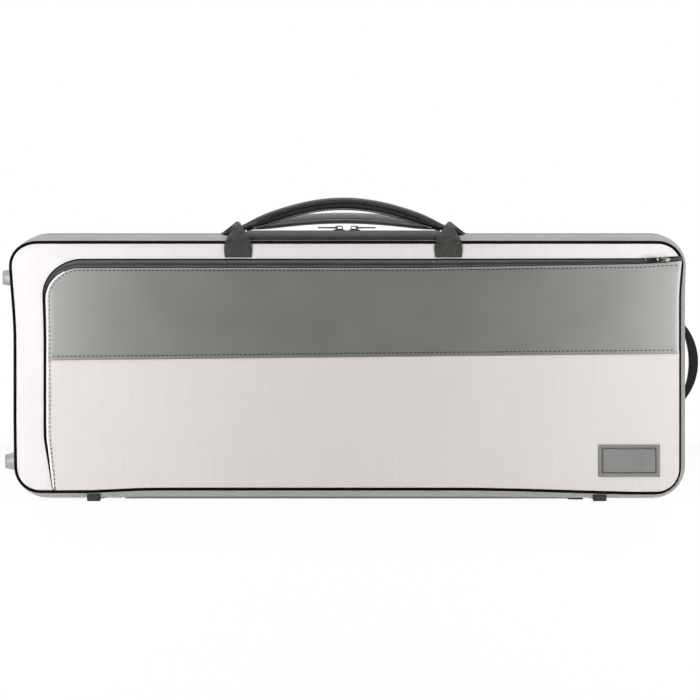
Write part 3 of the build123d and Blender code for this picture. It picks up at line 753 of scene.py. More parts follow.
def sew(
    name: str, points: Sequence[Point], finish: Finish, body: str,
    out: Vector = FRONT, pitch: float = 0.0044, length: float = 0.0032,
) -> None:
    """Sews a row of stitches along points, each sunk at both its ends.

    Args:
        name: The row's name.
        points: The points.
        finish: The thread.
        body: The body that it rides on.
        out: Where the stitches' tops point.
        pitch: The distance from stitch to stitch.
        length: The length of each.
    """
    half = 0.00045
    stitch = Mould.cube("stitch", (-length / 2, -half, -half * 0.6), (length / 2, half, half * 1.1))
    places = spaced(points, pitch, out, pitch / 2)
    repeated(name, stitch.crowned(half * 0.8, 2), places).dress(finish, body, smooth=60)


def joint_of(child: str) -> dict:
    """Returns the joint that a body turns or slides on."""
    return next(joint for joint in frame["joints"] if joint["child"] == child)


def middle_of(node: str) -> Vector:
    """Returns the middle of a node's box."""
    return sum(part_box(node), Vector()) / 2


@dataclass(frozen=True)
class Flare:
    """A corner of the lid's face that stands out a little, as soft cases have.

    It has the corner's side in X and in Z, and for both axes the move, how far from the
    corner the whole move reaches and how much further it takes to fade.
    """

    corner: tuple[int, int]
    move: tuple[float, float]
    full: tuple[float, float]
    fade: tuple[float, float]

    def share(self, far: np.ndarray, axis: int) -> np.ndarray:
        """Returns how much of the move is left at distances from the corner."""
        late = np.clip((far - self.full[axis]) / self.fade[axis], 0, 1)
        return (1 - late) ** 2 * (1 + late)


FLARES = (
    Flare((0, 1), (-0.0058, 0.0), (0.010, 0.028), (0.060, 0.092)),
    Flare((1, 1), (0.0034, 0.0), (0.030, 0.022), (0.100, 0.050)),
    Flare((0, 0), (0.0008, -0.0031), (0.086, 0.020), (0.085, 0.070)),
    Flare((1, 0), (0.0, -0.0048), (0.058, 0.020), (0.210, 0.080)),
    Flare((0, 1), (-0.0008, 0.0), (0.010, 0.400), (0.060, 0.100)),
    Flare((1, 1), (0.0022, 0.0), (0.030, 0.400), (0.300, 0.100)),
)


@dataclass
class Datum:
    """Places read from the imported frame, and the pocket zip's own sizes."""

    radius: float = 0.030
    swell: float = 0.0090
    left_swell: float = 0.0015
    cord: float = 0.00175
    tuck: float = 0.0010
    tuck_reach: tuple[float, float] = (0.005, 0.05)
    zip_inset: float = 0.0354
    zip_drop: float = 0.0211
    zip_corner: float = 0.044
    zip_width: float = 0.0058
    zip_height: float = 0.0105
    zip_slant: float = 0.010
    slant_rise: float = 0.062
    narrowing: float = 0.0042
    narrowing_fade: float = 0.036
    lift_fade: float = 0.03
    rise_places: tuple[float, ...] = (0.0, 0.05, 0.30)
    rise_inner: tuple[float, ...] = (0.0085, 0.0045, 0.0)
    rise_outer: tuple[float, ...] = (0.0030, 0.0004, 0.0)

    def __post_init__(self) -> None:
        """Reads the face and the seam."""
        low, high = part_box("front_piping")
        self.left, self.bottom, self.front = low.x, low.z, low.y
        self.right, self.top = high.x, high.z
        self.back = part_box("rear_piping")[1].y
        self.seam = (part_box("lid_shell")[1].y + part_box("base_shell")[0].y) / 2
        self.centre = (self.left + self.right) / 2
        self.middle = (self.bottom + self.top) / 2

    @property
    def bends(self) -> tuple[list[float], list[float]]:
        """Returns the places in X and Z where long faces are cut, so that they can flare."""
        xs = [self.left + d for d in (0.05, 0.09, 0.11, 0.13, 0.15, 0.18, 0.22)]
        xs += [self.right - d for d in (0.04, 0.07, 0.11, 0.15, 0.19, 0.23, 0.28)]
        zs = [self.bottom + d for d in (0.025, 0.045, 0.07, 0.1)]
        zs += [self.top - d for d in (0.035, 0.05, 0.065, 0.08, 0.1, 0.125)]
        return xs, zs

    def flared(self, points: np.ndarray) -> np.ndarray:
        """Moves points as the lid's uneven corners do, most at its face and not at the seam."""
        points = np.array(points, dtype=float)
        depth = np.clip((self.seam - points[:, 1]) / (self.seam - self.front), 0, 1) ** 1.3
        moves = np.zeros_like(points)
        for flare in FLARES:
            x = (self.left, self.right)[flare.corner[0]]
            z = (self.bottom, self.top)[flare.corner[1]]
            share = flare.share(abs(points[:, 0] - x), 0) * flare.share(abs(points[:, 2] - z), 1) * depth
            moves[:, 0] += share * flare.move[0]
            moves[:, 2] += share * flare.move[1]
        return points + moves

    def raised(self, points: np.ndarray) -> np.ndarray:
        """Moves points of the pocket: narrows and flares them, and lifts the zip's right end."""
        points = np.array(points, dtype=float)
        from_right = self.right - points[:, 0]
        low, high = (np.interp(from_right, self.rise_places, rise) for rise in (self.rise_inner, self.rise_outer))
        rim = self.top - self.zip_drop
        edge = rim - self.zip_height
        share = np.clip((points[:, 2] - edge) / (rim - edge), 0, 1)
        below = np.clip((points[:, 2] - (edge - self.lift_fade)) / self.lift_fade, 0, 1) ** 2
        points[:, 2] += (low + (high - low) * share) * below
        start, run = self.tuck_reach
        points[:, 0] += self.tuck * np.clip(1 - (from_right - start) / run, 0, 1)
        return self.flared(self.narrowed(points))

    def narrowed(self, points: np.ndarray) -> np.ndarray:
        """Draws the pocket's inner edge towards the zip's outer one, which narrows the zip at the left."""
        left = self.left + self.zip_inset
        edge = left + self.zip_slant * np.clip((self.bottom + self.slant_rise - points[:, 2]) / self.slant_rise, 0, 1)
        centre = np.array([left + self.zip_corner, self.top - self.zip_drop - self.zip_corner])
        arm = centre - points[:, [0, 2]]
        reach = np.maximum(np.hypot(arm[:, 0], arm[:, 1]), TINY)
        straight = arm[:, 1] > 0
        far = np.where(straight, points[:, 0] - edge, self.zip_corner - reach)
        way_x = np.where(straight, 1.0, np.clip(arm[:, 0] / reach, 0, 1))
        way_z = np.where(straight, 0.0, arm[:, 1] / reach)
        fade = 1 - np.clip((far - self.zip_width) / self.narrowing_fade, 0, 1)
        move = self.narrowing * np.clip(far / self.zip_width, 0, 1) * fade * way_x**1.5
        points[:, 0] -= move * way_x
        points[:, 2] -= move * way_z
        return points

    def loop(self, grow: float, y: float, swell: float = 0.0, steps: int = 8) -> list[Vector]:
        """Returns a rounded outline of the case.

        Args:
            grow: How far it lies outside the face's edge.
            y: Its depth.
            swell: The share of the sides' swell, from 0 at a face to 1 at the seam.
            steps: The steps of each corner.

        Returns:
            The points, clockwise from the bottom's middle, seen from the front.
        """
        side = self.swell * swell + grow
        left, right = self.left - self.left_swell * swell - grow, self.right + side
        bottom, top = self.bottom - side, self.top + side
        r = self.radius + side
        points = [Vector(((left + right) / 2, y, bottom))]
        for centre, start in (
            ((left + r, bottom + r), 270), ((left + r, top - r), 180),
            ((right - r, top - r), 90), ((right - r, bottom + r), 0),
        ):
            points += arc(centre, r, start, start - 90, steps, y)
        return points + [points[0].copy()]


@dataclass
class Pans:
    """The foam-and-ply lid and base with their leather-cloth sides."""

    datum: Datum
    stations: int = 10
    corner_steps: int = 10
    floor_steps: int = 4
    wall: float = 0.0069
    gap: float = 0.0003
    lid_floor: float = 0.05025
    base_floor: float = 0.08025
    peak: float = 0.2
    dip: float = 0.16
    slack: float = 0.0005

    def build(self) -> None:
        """Builds both pans."""
        datum = self.datum
        self.pan("lid", datum.seam - self.gap, datum.front + datum.cord, self.lid_floor)
        self.pan("base", datum.seam + self.gap, datum.back - datum.cord, self.base_floor)

    def share(self, y: float, near: float, far: float) -> float:
        """Returns the share of the swell at a depth, which is greatest a little behind the seam."""
        late = (y - near) / (far - near)
        if late < self.peak:
            return 1 - self.dip * ((self.peak - late) / self.peak) ** 2
        return 1 - ((late - self.peak) / (1 - self.peak)) ** 2

    def swollen(self, points: np.ndarray, near: float, far: float) -> np.ndarray:
        """Swells the walls' points between two depths, each corner about its own middle."""
        datum, places = self.datum, np.array(points, dtype=float)
        share = np.array([self.share(y, near, far) for y in places[:, 1]])
        out, left, r = datum.swell * share, datum.left_swell * share, datum.radius
        for axis, low, high, less in ((0, datum.left, datum.right, left), (2, datum.bottom, datum.top, out)):
            core = np.clip(places[:, axis], low + r, high - r)
            start, end = low - less + r + out, high - r
            past = (places[:, axis] - core) * (r + out) / r
            places[:, axis] = start + (end - start) * (core - low - r) / (high - low - 2 * r) + past
        return places

    def pan(self, body: str, near: float, far: float, floor: float) -> None:
        """Builds one pan.

        Args:
            body: The body that it rides on.
            near: The depth of its rim at the seam.
            far: The depth of its face.
            floor: How far its inner floor is from the seam.
        """
        datum, way = self.datum, 1 if far > near else -1
        corners = ((datum.left, min(near, far), datum.bottom), (datum.right, max(near, far), datum.top))
        piece = Mould.cube(f"{body}_side_walls", *corners)
        piece.pick(Kind.EDGES, lambda a, b: a.y != b.y).bevel(datum.radius, self.corner_steps)
        for step in range(1, self.stations):
            piece.cut((0, near + (far - near) * step / self.stations, 0), BACK)
        piece.moved(lambda points: self.swollen(points, near, far))
        piece.pick(Kind.FACES, lambda mid, normal: abs(mid.y - near) < SAME).inset((self.wall, 0))
        width = datum.right - datum.left - 2 * self.wall
        height = datum.top - datum.bottom - 2 * self.wall
        depths = [near + way * floor * step / self.floor_steps for step in range(self.floor_steps + 1)]
        for before, after in zip(depths, depths[1:]):
            shrink = datum.swell * (self.share(after, near, far) - self.share(before, near, far))
            piece.extrude((0, way * floor / self.floor_steps, 0))
            piece.resize((1 + shrink / width, 1, 1 + 2 * shrink / height), (datum.centre, after, datum.middle))
            piece.shift((shrink / 2, 0, 0))
        piece.outward()
        if body == "lid":
            piece.sliced(*datum.bends).moved(datum.flared)
        piece.clear()
        for finish in (FINISH.side, FINISH.lining):
            piece.obj.data.materials.append(finish.material())
        for face in piece.obj.data.polygons:
            depth = (face.center.y - near) * way
            to_middle = Vector((datum.centre, face.center.y, datum.middle)) - face.center
            inside = to_middle.dot(face.normal) > 0 and depth < floor + 2 * self.slack
            face.material_index = int(inside or depth < self.slack or abs(depth - floor) < self.slack)
        piece.dress(FINISH.side, body, [f"{body}_shell"], smooth=50)


@dataclass
class Faces:
    """The cloth faces inside their piping."""

    datum: Datum
    fullness: float = 1.15

    def build(self) -> None:
        """Builds the two cords and the two cloth panels."""
        datum = self.datum
        for row, y, body in (("front", datum.front + datum.cord, "lid"), ("rear", datum.back - datum.cord, "base")):
            line = resampled(datum.loop(-datum.cord, y)[:-1], 0.006, closed=True)
            cord = Mould.tube(f"{row}_piping_cord", line, datum.cord * self.fullness, closed=True)
            if body == "lid":
                cord.moved(datum.flared)
            cord.dress(FINISH.piping, body, [f"{row}_piping"])
        self.panel("lid_face_cloth", "lid_face_panel", "lid")
        self.panel("back_face_cloth", "base_back_panel", "base")

    def panel(self, name: str, node: str, body: str) -> None:
        """Builds one cloth panel that swells softly inside the piping."""
        low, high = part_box(node)
        outer = low.y if body == "lid" else high.y
        piece = Mould.cube(name, low, high)
        piece.pick(Kind.EDGES, lambda a, b: a.y != b.y).bevel(self.datum.radius - 2 * self.datum.cord, 8)
        piece.pick(Kind.FACES, lambda mid, normal: abs(mid.y - outer) < SAME and abs(normal.y) > 0.9)
        piece.inset((0.0015, 0.0004), (0.004, 0.0004), (0.012, 0.0003))
        if body == "lid":
            piece.sliced(*self.datum.bends).moved(self.datum.flared)
        piece.dress(FINISH.cloth, body, [node], smooth=60)


@dataclass
class FrontPocket:
    """The big pocket: leather band, cloth, zip, badge and stitches."""

    datum: Datum
    seam_left: float = 0.1523
    seam_right: float = 0.1605
    tooth_pitch: float = 0.0016
    stitch_pitch: float = 0.0051
    stitch_length: float = 0.0028
    badge_frame: float = 0.004
    slider_rise: float = 0.0042
    slider_shares: Triple = (0.85, 1, 0.45)
    puller_shares: Triple = (1, 1, 0.6)

    def build(self) -> None:
        """Builds the pocket's pieces."""
        self.panels()
        self.zip()
        self.stitches()
        self.badge()

    def route(self, left: float, top: float, y: float, end: float) -> list[Vector]:
        """Returns a line along the pocket's edge, from the right end to the bottom left.

        Args:
            left: How far inside the zip's outer edge it runs at the left.
            top: How far inside it runs at the top.
            y: Its depth.
            end: How far short of the right end it starts.

        Returns:
            The points.
        """
        datum = self.datum
        x = datum.left + datum.zip_inset + left
        z = datum.top - datum.zip_drop - top
        r = datum.zip_corner - left
        low, knee = datum.bottom + 0.0052, datum.bottom + datum.slant_rise
        slant = (datum.zip_slant - 0.35 * left) * (knee - low) / datum.slant_rise
        bend = arc((x + r, z - r), r, 90, 180, 14, y)
        return [Vector((datum.right - end, y, z)), *bend, Vector((x, y, knee)), Vector((x + slant, y, low))]

    @property
    def bends(self) -> tuple[list[float], list[float]]:
        """Returns the places where the pocket's pieces are cut, so that their edges can rise."""
        xs, zs = self.datum.bends
        far = [self.datum.right - d for d in (0.008, 0.012, 0.016, 0.02, 0.055, 0.09, 0.17, 0.21, 0.25, 0.30)]
        return xs + far, zs + [self.datum.top - 0.0318, self.datum.top - 0.0270]

    def lifted(self, points: Sequence[Point], pitch: float) -> list[Vector]:
        """Returns a line in the pocket, resampled and moved as its pieces are."""
        rows = np.array([tuple(point) for point in resampled(points, pitch)])
        return [Vector(point) for point in self.datum.raised(rows)]

    def panels(self) -> None:
        """Builds the leather band and the cloth below it, each softly padded."""
        for name, node, finish, rise in (
            ("pocket_leather_band_padded", "pocket_leather_band", FINISH.band, 0.0007),
            ("pocket_cloth_padded", "pocket_cloth_panel", FINISH.pocket_cloth, 0.0),
        ):
            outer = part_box(node)[0].y
            piece = Mould.fitted(node, name)
            piece.pick(Kind.FACES, lambda mid, normal: normal.y < -0.9 and abs(mid.y - outer) < SAME)
            piece.shift((0, -rise, 0)).inset((0.0006, 0.0003), (0.0012, 0.0002), (0.006, 0.0001))
            piece.sliced(*self.bends).moved(self.datum.raised)
            piece.dress(finish, "lid", [node], smooth=50)

    def zip(self) -> None:
        """Builds the tape, the coil, the cords, the slider and its puller."""
        width, height = self.datum.zip_width, self.datum.zip_height
        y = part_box("pocket_zip_tape")[0].y
        tape = Mould.fitted("pocket_zip_tape", "pocket_zip_tape_woven").soften(0.0004)
        tape.sliced(*self.bends).moved(self.datum.raised).dress(FINISH.tape, "lid", ["pocket_zip_tape"])
        tooth = Mould.cube("tooth", (-0.0006, -0.0013, -0.0004), (0.0006, 0.0013, 0.00025)).crowned(0.0002)
        line = self.lifted(self.route(width * 0.6, height * 0.6, y, 0.008), 0.004)
        repeated("pocket_zip_coil", tooth, spaced(line, self.tooth_pitch, FRONT)).dress(FINISH.teeth, "lid")
        for word, left, top in (("outer", 0.0, 0.0), ("inner", 0.9, 0.94)):
            line = self.lifted(self.route(width * left + 0.0004, height * top + 0.0006, y, 0.007), 0.006)
            Mould.tube(f"pocket_zip_cord_{word}", line, 0.0008).dress(FINISH.piping, "lid")
        # A near-white cord round the pocket's upper left corner and down its left edge: a painted highlight along
        # that edge.
        corner = self.route(width + 0.0022, height + 0.0008, y - 0.0016, 0.006)[6:]
        Mould.tube("pocket_edge_painted_highlight", self.lifted(corner, 0.004), 0.0011).dress(FINISH.edge, "lid")
        for node, shares in (("pocket_slider", self.slider_shares), ("pocket_puller", self.puller_shares)):
            piece = Mould.fitted(node, f"{node}_plated").soften(0.00035)
            piece.pick(Kind.VERTS).resize(shares, middle_of(node)).shift((0, 0, self.slider_rise))
            piece.dress(FINISH.metal, node, [node])

    def stitches(self) -> None:
        """Sews the rows under the zip and above the seam."""
        datum = self.datum
        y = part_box("pocket_leather_band")[0].y - 0.0016
        edge = self.lifted(self.route(datum.zip_width + 0.0046, datum.zip_height + 0.0030, y, 0.008), 0.004)
        seam = []
        for x in (datum.left + 0.044, datum.right - 0.008):
            share = (x - datum.left) / (datum.right - datum.left)
            rise = self.seam_left + (self.seam_right - self.seam_left) * share
            seam.append(Vector((x, y, datum.bottom + rise + 0.0042)))
        for word, line in (("edge", edge), ("seam", seam)):
            size = {"pitch": self.stitch_pitch, "length": self.stitch_length}
            sew(f"pocket_{word}_stitches", line, FINISH.dark_thread, "lid", **size)

    def badge(self) -> None:
        """Builds the blank badge with its raised frame."""
        low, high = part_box("badge_patch")
        piece = Mould.cube("badge_leather_plate", low, high)
        piece.pick(Kind.FACES, lambda mid, normal: normal.y < -0.9)
        piece.inset((0.0005, 0.0004), (self.badge_frame - 0.001, 0), (0.0003, -0.0007))
        piece.inset((0.0015, 0.0002), (0.004, 0.0002))
        piece.dress(FINISH.badge, "lid", ["badge_patch"], smooth=30)
        off = self.badge_frame + 0.0008
        loop = rectangle(low.x + off, high.x - off, low.z + off, high.z - off, low.y - 0.0002)
        sew("badge_stitches", loop, FINISH.dark_thread, "lid", pitch=0.003, length=0.002)


@dataclass
class MainZip:
    """The zip round three sides, the cloth hinge and the tab at its end."""

    datum: Datum
    tooth_pitch: float = 0.003
    tooth_reach: float = 0.0026
    tooth_depth: float = 0.0007
    hinge_reach: float = 0.266
    depth: float = 0.0016
    slider_foot: float = 0.0012

    def build(self) -> None:
        """Builds tapes, teeth, sliders and the hinge."""
        for half, way in (("lid", -1), ("base", 1)):
            node = f"{half}_zip_tape"
            Mould.fitted(node, f"{node}_woven").moved(self.sunk).dress(FINISH.tape, half, [node], smooth=50)
            self.teeth(half, way)
            Mould.plain(f"{half}_hinge_leaf", "cloth", FINISH.hinge, half, 0.0003, 2)
        Mould.plain("zip_stop_tab", "leather", FINISH.tab, "base", 0.0004, 2)
        for node in ("zip_slider_left", "zip_puller_left", "zip_slider_right", "zip_puller_right"):
            piece = Mould.fitted(node, f"{node}_plated").soften(0.00035)
            if "slider" in node:
                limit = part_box(node)[0].z + self.slider_foot
                piece.pick(Kind.VERTS, lambda co: co.z < limit).shift((0, 0, -self.depth))
            piece.dress(FINISH.metal, node, [node])

    def sunk(self, points: np.ndarray) -> np.ndarray:
        """Moves points of the tape inwards, to the bottom of the valley between the halves."""
        datum = self.datum
        centre = np.array([datum.centre, 0, datum.middle])
        half = np.array([(datum.right - datum.left) / 2, 1, (datum.top - datum.bottom) / 2])
        return (points - centre) * (1 - self.depth / half * np.array([1, 0, 1])) + centre

    def teeth(self, half: str, way: int) -> None:
        """Builds one half's row of teeth, which part with the lid."""
        grow = 0.0019 - self.depth
        loop = self.datum.loop(grow, self.datum.seam + way * 0.0014, swell=1.0)
        loop[0].x = self.datum.centre - self.hinge_reach
        loop[-1].x = self.datum.centre + self.hinge_reach
        size = Vector((self.tooth_depth, self.tooth_reach / 2, 0.0009))
        tooth = Mould.cube("tooth", (-size.x, -size.y, -0.0006), size).crowned(0.0004)
        skip = self.tooth_pitch * (0.25 if way < 0 else 0.75)
        repeated(f"{half}_zip_teeth", tooth, spaced(loop, self.tooth_pitch, None, skip)).dress(FINISH.teeth, half)


@dataclass
class Handles:
    """The two rolled handles, their folded tabs and the patches between.

    A tab's half widths belong to places that lie so far below its crest.
    """

    datum: Datum
    half_arc: float = 0.121
    rise: float = 0.0305
    radius: float = 0.0066
    end_radius: float = 0.0028
    end_share: float = 0.16
    bar_radius: float = 0.0020
    bar_end: float = 0.128
    fin: float = 0.0016
    fin_width: float = 0.0024
    lean: float = 68.0
    steps: int = 32
    leather: float = 0.0025
    fold_radius: float = 0.0036
    fold_gap: float = 0.0003
    tab_run: float = 0.0118
    tab_pitch: float = 0.0012
    tab_sides: int = 28
    tab_inward: float = 0.0010
    tab_falls: tuple[float, ...] = (0.0, 0.0015, 0.005, 0.0095, 0.0145, 0.019, 0.025, 0.031, 0.042)
    tab_widths: tuple[float, ...] = (0.0034, 0.0045, 0.0072, 0.0101, 0.0126, 0.0145, 0.0162, 0.0166, 0.0153)
    patch_share: float = 1.10
    patch_rise: float = 0.0012
    ridge: float = 0.0012
    ridge_fade: float = 0.03

    def build(self) -> None:
        """Builds handles, tabs and patches."""
        self.handle("front", 0.0, FINISH.handle, FINISH.light_thread)
        # The rear handle's lighter leather is painted light.
        self.handle("rear", self.lean, FINISH.rear_handle, FINISH.dark_thread)
        for row, body in (("front", "lid"), ("rear", "base")):
            for side, word in ((-1, "left"), (1, "right")):
                self.tab(f"{row}_tab_{word}", f"{row}_handle", body, side)
        # The top patches' dark tone is partly painted shade under the handles.
        for half in ("lid", "base"):
            node = f"{half}_top_patch"
            piece = Mould.fitted(node, f"{node}_leather").soften(0.0008, 3)
            piece.pick(Kind.VERTS).resize((self.patch_share, 1, 1), middle_of(node))
            piece.pick(Kind.FACES, lambda mid, normal: normal.z > 0.5).shift((0, 0, self.patch_rise))
            piece.dress(FINISH.shaded_patch, half, [node])

    def tab_line(self, node: str, handle: str, body: str) -> list[Vector]:
        """Returns the line of a tab's leather, from its foot over the handle's end to its toe.

        Args:
            node: The node that it stands for.
            handle: The handle that it holds.
            body: The body that it is sewn to.

        Returns:
            The points in Y and Z.
        """
        low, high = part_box(node)
        pivot = Vector(joint_of(handle)["pos_m"])
        half = self.leather / 2
        fold = self.fold_radius + self.fold_gap + half
        front, behind = low.y + half, high.y - self.tab_run
        if body == "lid":
            drop = low.z
            knee, heel = (front, self.datum.top + 0.0002), (behind, high.z - fold * 2 - 0.0027)
        else:
            drop = high.z - 0.0183
            knee, heel = (front + self.tab_run, drop + 0.0022), (behind, drop + 0.0032)
        turns = np.radians(range(140, 39, -20))
        over = [(pivot.y + fold * math.cos(t), pivot.z + fold * math.sin(t)) for t in turns]
        corners = [(front, drop + 0.0002), knee, *over, heel, (high.y, heel[1] - 0.0006)]
        line = resampled([Vector((0, *corner)) for corner in corners], self.tab_pitch)
        for _ in range(14):
            line[1:-1] = [(a + 2 * b + c) / 4 for a, b, c in zip(line, line[1:], line[2:])]
        return line

    def tab(self, node: str, handle: str, body: str, side: int) -> None:
        """Builds one leather tab, folded over the handle's end and drawn in to its crest.

        Args:
            node: The node that it stands for.
            handle: The handle that it holds.
            body: The body that it is sewn to.
            side: -1 for the left end and 1 for the right one.
        """
        line = self.tab_line(node, handle, body)
        crest = max(range(len(line)), key=lambda index: line[index].z)
        centre = middle_of(node).x - side * self.tab_inward
        rings = []
        for index, point in enumerate(line):
            along = (line[min(index + 1, len(line) - 1)] - line[max(index - 1, 0)]).normalized()
            out = Vector((0, -along.z, along.y))
            fall = line[crest].z - point.z + 0.35 * max(0.0, abs(point.y - line[crest].y) - 0.012)
            width = float(np.interp(fall, self.tab_falls, self.tab_widths))
            thick = self.leather / 2 * (1.0 + 0.25 * (1 - width / max(self.tab_widths)))
            shift = side * 0.008 * min(1.0, fall / 0.012) if index > crest else 0.0
            middle = Vector((centre + shift, point.y, point.z))
            ridge = self.ridge * max(0.0, 1 - fall / self.ridge_fade)
            ring = []
            for turn in np.linspace(0, 2 * math.pi, self.tab_sides, endpoint=False):
                across, up = math.cos(turn), math.sin(turn)
                spread = math.copysign(abs(across) ** 0.35, across)
                rise = math.copysign(abs(up) ** 0.7, up) * thick
                crown = 0.0002 + ridge * (1 - abs(spread)) ** 1.5
                ring.append(middle + RIGHT * (spread * width) + out * (rise + crown))
            rings.append(ring)
        Mould.lofted(f"{node}_leather", np.array(rings)).dress(FINISH.tab, body, [node], smooth=55)

    def centre_line(self) -> list[Triple]:
        """Returns X, Z and the radius along the handle, from its pivot."""
        rows = []
        for step in range(self.steps + 1):
            share = step / self.steps
            full = min(1.0, min(share, 1 - share) / self.end_share)
            radius = self.end_radius + (self.radius - self.end_radius) * math.sin(full * math.pi / 2)
            rows.append((self.half_arc * (2 * share - 1), self.rise * math.sin(math.pi * share), radius))
        return [(-self.bar_end, 0.0, self.bar_radius), *rows, (self.bar_end, 0.0, self.bar_radius)]

    def handle(self, row: str, lean: float, finish: Finish, thread: Finish) -> None:
        """Builds one handle with the bar through its tabs, its sewn fin and the fin's stitches.

        Args:
            row: Which of the two it is, front or rear.
            lean: How far it leans back, in degrees.
            finish: Its leather.
            thread: The thread of its seam.
        """
        name, node = f"{row}_rolled_handle", f"{row}_handle"
        pivot = Matrix.Translation(Vector(joint_of(node)["pos_m"]))
        turn = pivot @ Matrix.Rotation(math.radians(-lean), 4, "X")
        rows = self.centre_line()
        spine = [turn @ Vector((x, 0, z)) for x, z, _ in rows]
        roll = Mould.tube(name, spine, self.radius, shares=[r / self.radius for _, _, r in rows])
        roll.soften(0.001, 2, 60).dress(finish, node, [node], smooth=60)
        half = self.fin_width / 2
        root = half * 1.6
        corners, faces = [], []
        rows = rows[2:-2]
        for x, z, radius in rows:
            low, high = z - radius - self.fin, z - radius + 0.001
            corners += [(x, -half, low), (x, half, low), (x, root, high), (x, -root, high)]
        for a in range(0, len(corners) - 4, 4):
            faces += [(a + i, a + (i + 1) % 4, a + 4 + (i + 1) % 4, a + 4 + i) for i in range(4)]
        faces += [(0, 3, 2, 1), tuple(len(corners) - 4 + i for i in range(4))]
        fin = Mould.ported(f"{name}_sewn_edge", np.array([turn @ Vector(corner) for corner in corners]), faces)
        fin.outward().soften(0.0004, 2, 50).dress(finish, node)
        for word, out in (("front", FRONT), ("back", BACK)):
            line = [turn @ Vector((x, out.y * half * 1.5, z - r - 0.0001)) for x, z, r in rows[1:-1]]
            sew(f"{name}_stitches_{word}", line, thread, node, turn.to_3x3() @ out, 0.0036, 0.0022)


@dataclass
class EndHandle:
    """The padded webbing handle at the scroll end."""

    edge: float = 0.0028
    seam_place: float = 0.006
    seam_apart: float = 0.003
    margin: float = 0.004

    def build(self) -> None:
        """Builds the handle with its soft rim and its sewn ends."""
        Mould.plain("end_handle", "padded", FINISH.webbing, "base", self.edge, 4, flat=2.0, **ROUND)
        low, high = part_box("end_handle")
        for end, z in (("lower", low.z + self.seam_place), ("upper", high.z - self.seam_place)):
            for index, off in enumerate((-self.seam_apart, self.seam_apart)):
                ys = (low.y + self.margin, high.y - self.margin)
                row = [Vector((high.x - 0.0178, y, z + off)) for y in ys]
                sew(f"end_handle_stitches_{end}_{index}", row, FINISH.dark_thread, "base", RIGHT, 0.0036, 0.0026)


@dataclass
class Feet:
    """The round end feet and the low feet that the case stands on."""

    radius: float = 0.0105
    tip: float = 0.0082
    height: float = 0.012
    root: float = 0.002
    sides: int = 32
    stand_out: float = 0.0030

    def build(self) -> None:
        """Builds the eight feet in four pairs; the lid's upper round one stands out."""
        for half in ("lid", "base"):
            low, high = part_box(f"{half}_end_feet")
            y = (low.y + high.y) / 2
            for word, z in (("upper", high.z - self.radius), ("lower", low.z + self.radius)):
                start, way = (low.x + self.height + self.root, y, z), (-self.height - self.root, 0, 0)
                foot = Mould.cone(f"{half}_end_foot_{word}", start, way, (self.radius, self.tip), self.sides)
                foot.pick(Kind.FACES, lambda mid, normal: normal.x < -0.9).inset((0.0035, 0), (0.0004, -0.0016))
                foot.soften(0.0008, 3)
                if half == "lid" and word == "upper":
                    foot.pick(Kind.VERTS).shift((-self.stand_out, 0, 0))
                foot.dress(FINISH.foot, half, [f"{half}_end_feet"] if word == "upper" else [])
            Mould.plain(f"{half}_stand_feet", "rubber", FINISH.rubber, half, 0.0009)


@dataclass
class BackRings:
    """The four carrying rings in their sewn tabs."""

    radius: float = 0.012
    wire: float = 0.0015
    seam_half: float = 0.010
    seam_low: float = 0.008
    seam_high: float = 0.027

    def build(self) -> None:
        """Builds the tabs and the rings."""
        Mould.plain("ring_tabs", "leather", FINISH.tab, "base", 0.0005, flat=2.0)
        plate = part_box("base_back_panel")[1].y + 0.0021
        for joint in frame["joints"]:
            node = joint["child"]
            if not node.startswith("carrying_ring"):
                continue
            x, y, z = joint["pos_m"]
            bow = arc((x, z), self.radius, 180, 360, 20, y)
            Mould.tube(f"{node}_wire", bow, self.wire, closed=True).dress(FINISH.metal, node, [node])
            loop = rectangle(x - self.seam_half, x + self.seam_half, z + self.seam_low, z + self.seam_high, plate)
            sew(f"{node}_tab_stitches", loop, FINISH.light_thread, "base", BACK, 0.0036, 0.0024)


@dataclass
class Pad:
    """A stuffed cushion that is swollen by a short cloth simulation."""

    voxel: float = 0.005
    pressure: float = 4.0
    frames: int = 20
    reach: float = 0.004

    def swell(self, piece: Mould) -> None:
        """Swells the piece, capped at the reach."""
        piece.modify("REMESH", mode="VOXEL", voxel_size=self.voxel)
        scene = bpy.context.scene
        cloth = piece.obj.modifiers.new("Cloth", "CLOTH")
        cloth.settings.use_pressure = True
        cloth.settings.uniform_pressure_force = self.pressure
        cloth.settings.effector_weights.gravity = 0
        for number in range(1, self.frames + 1):
            scene.frame_set(number)
        posed = piece.obj.evaluated_get(bpy.context.evaluated_depsgraph_get()).to_mesh()
        after = np.array([vert.co for vert in posed.vertices])
        piece.obj.to_mesh_clear()
        piece.obj.modifiers.clear()
        piece.moved(lambda before: self.capped(before, after))
        scene.frame_set(1)
        piece.modify("SUBSURF", levels=1, render_levels=1)

    def capped(self, before: np.ndarray, after: np.ndarray) -> np.ndarray:
        """Returns points moved to others, but by no more than the reach."""
        far = np.linalg.norm(after - before, axis=1, keepdims=True)
        return before + (after - before) * np.minimum(1, self.reach / np.maximum(far, TINY))


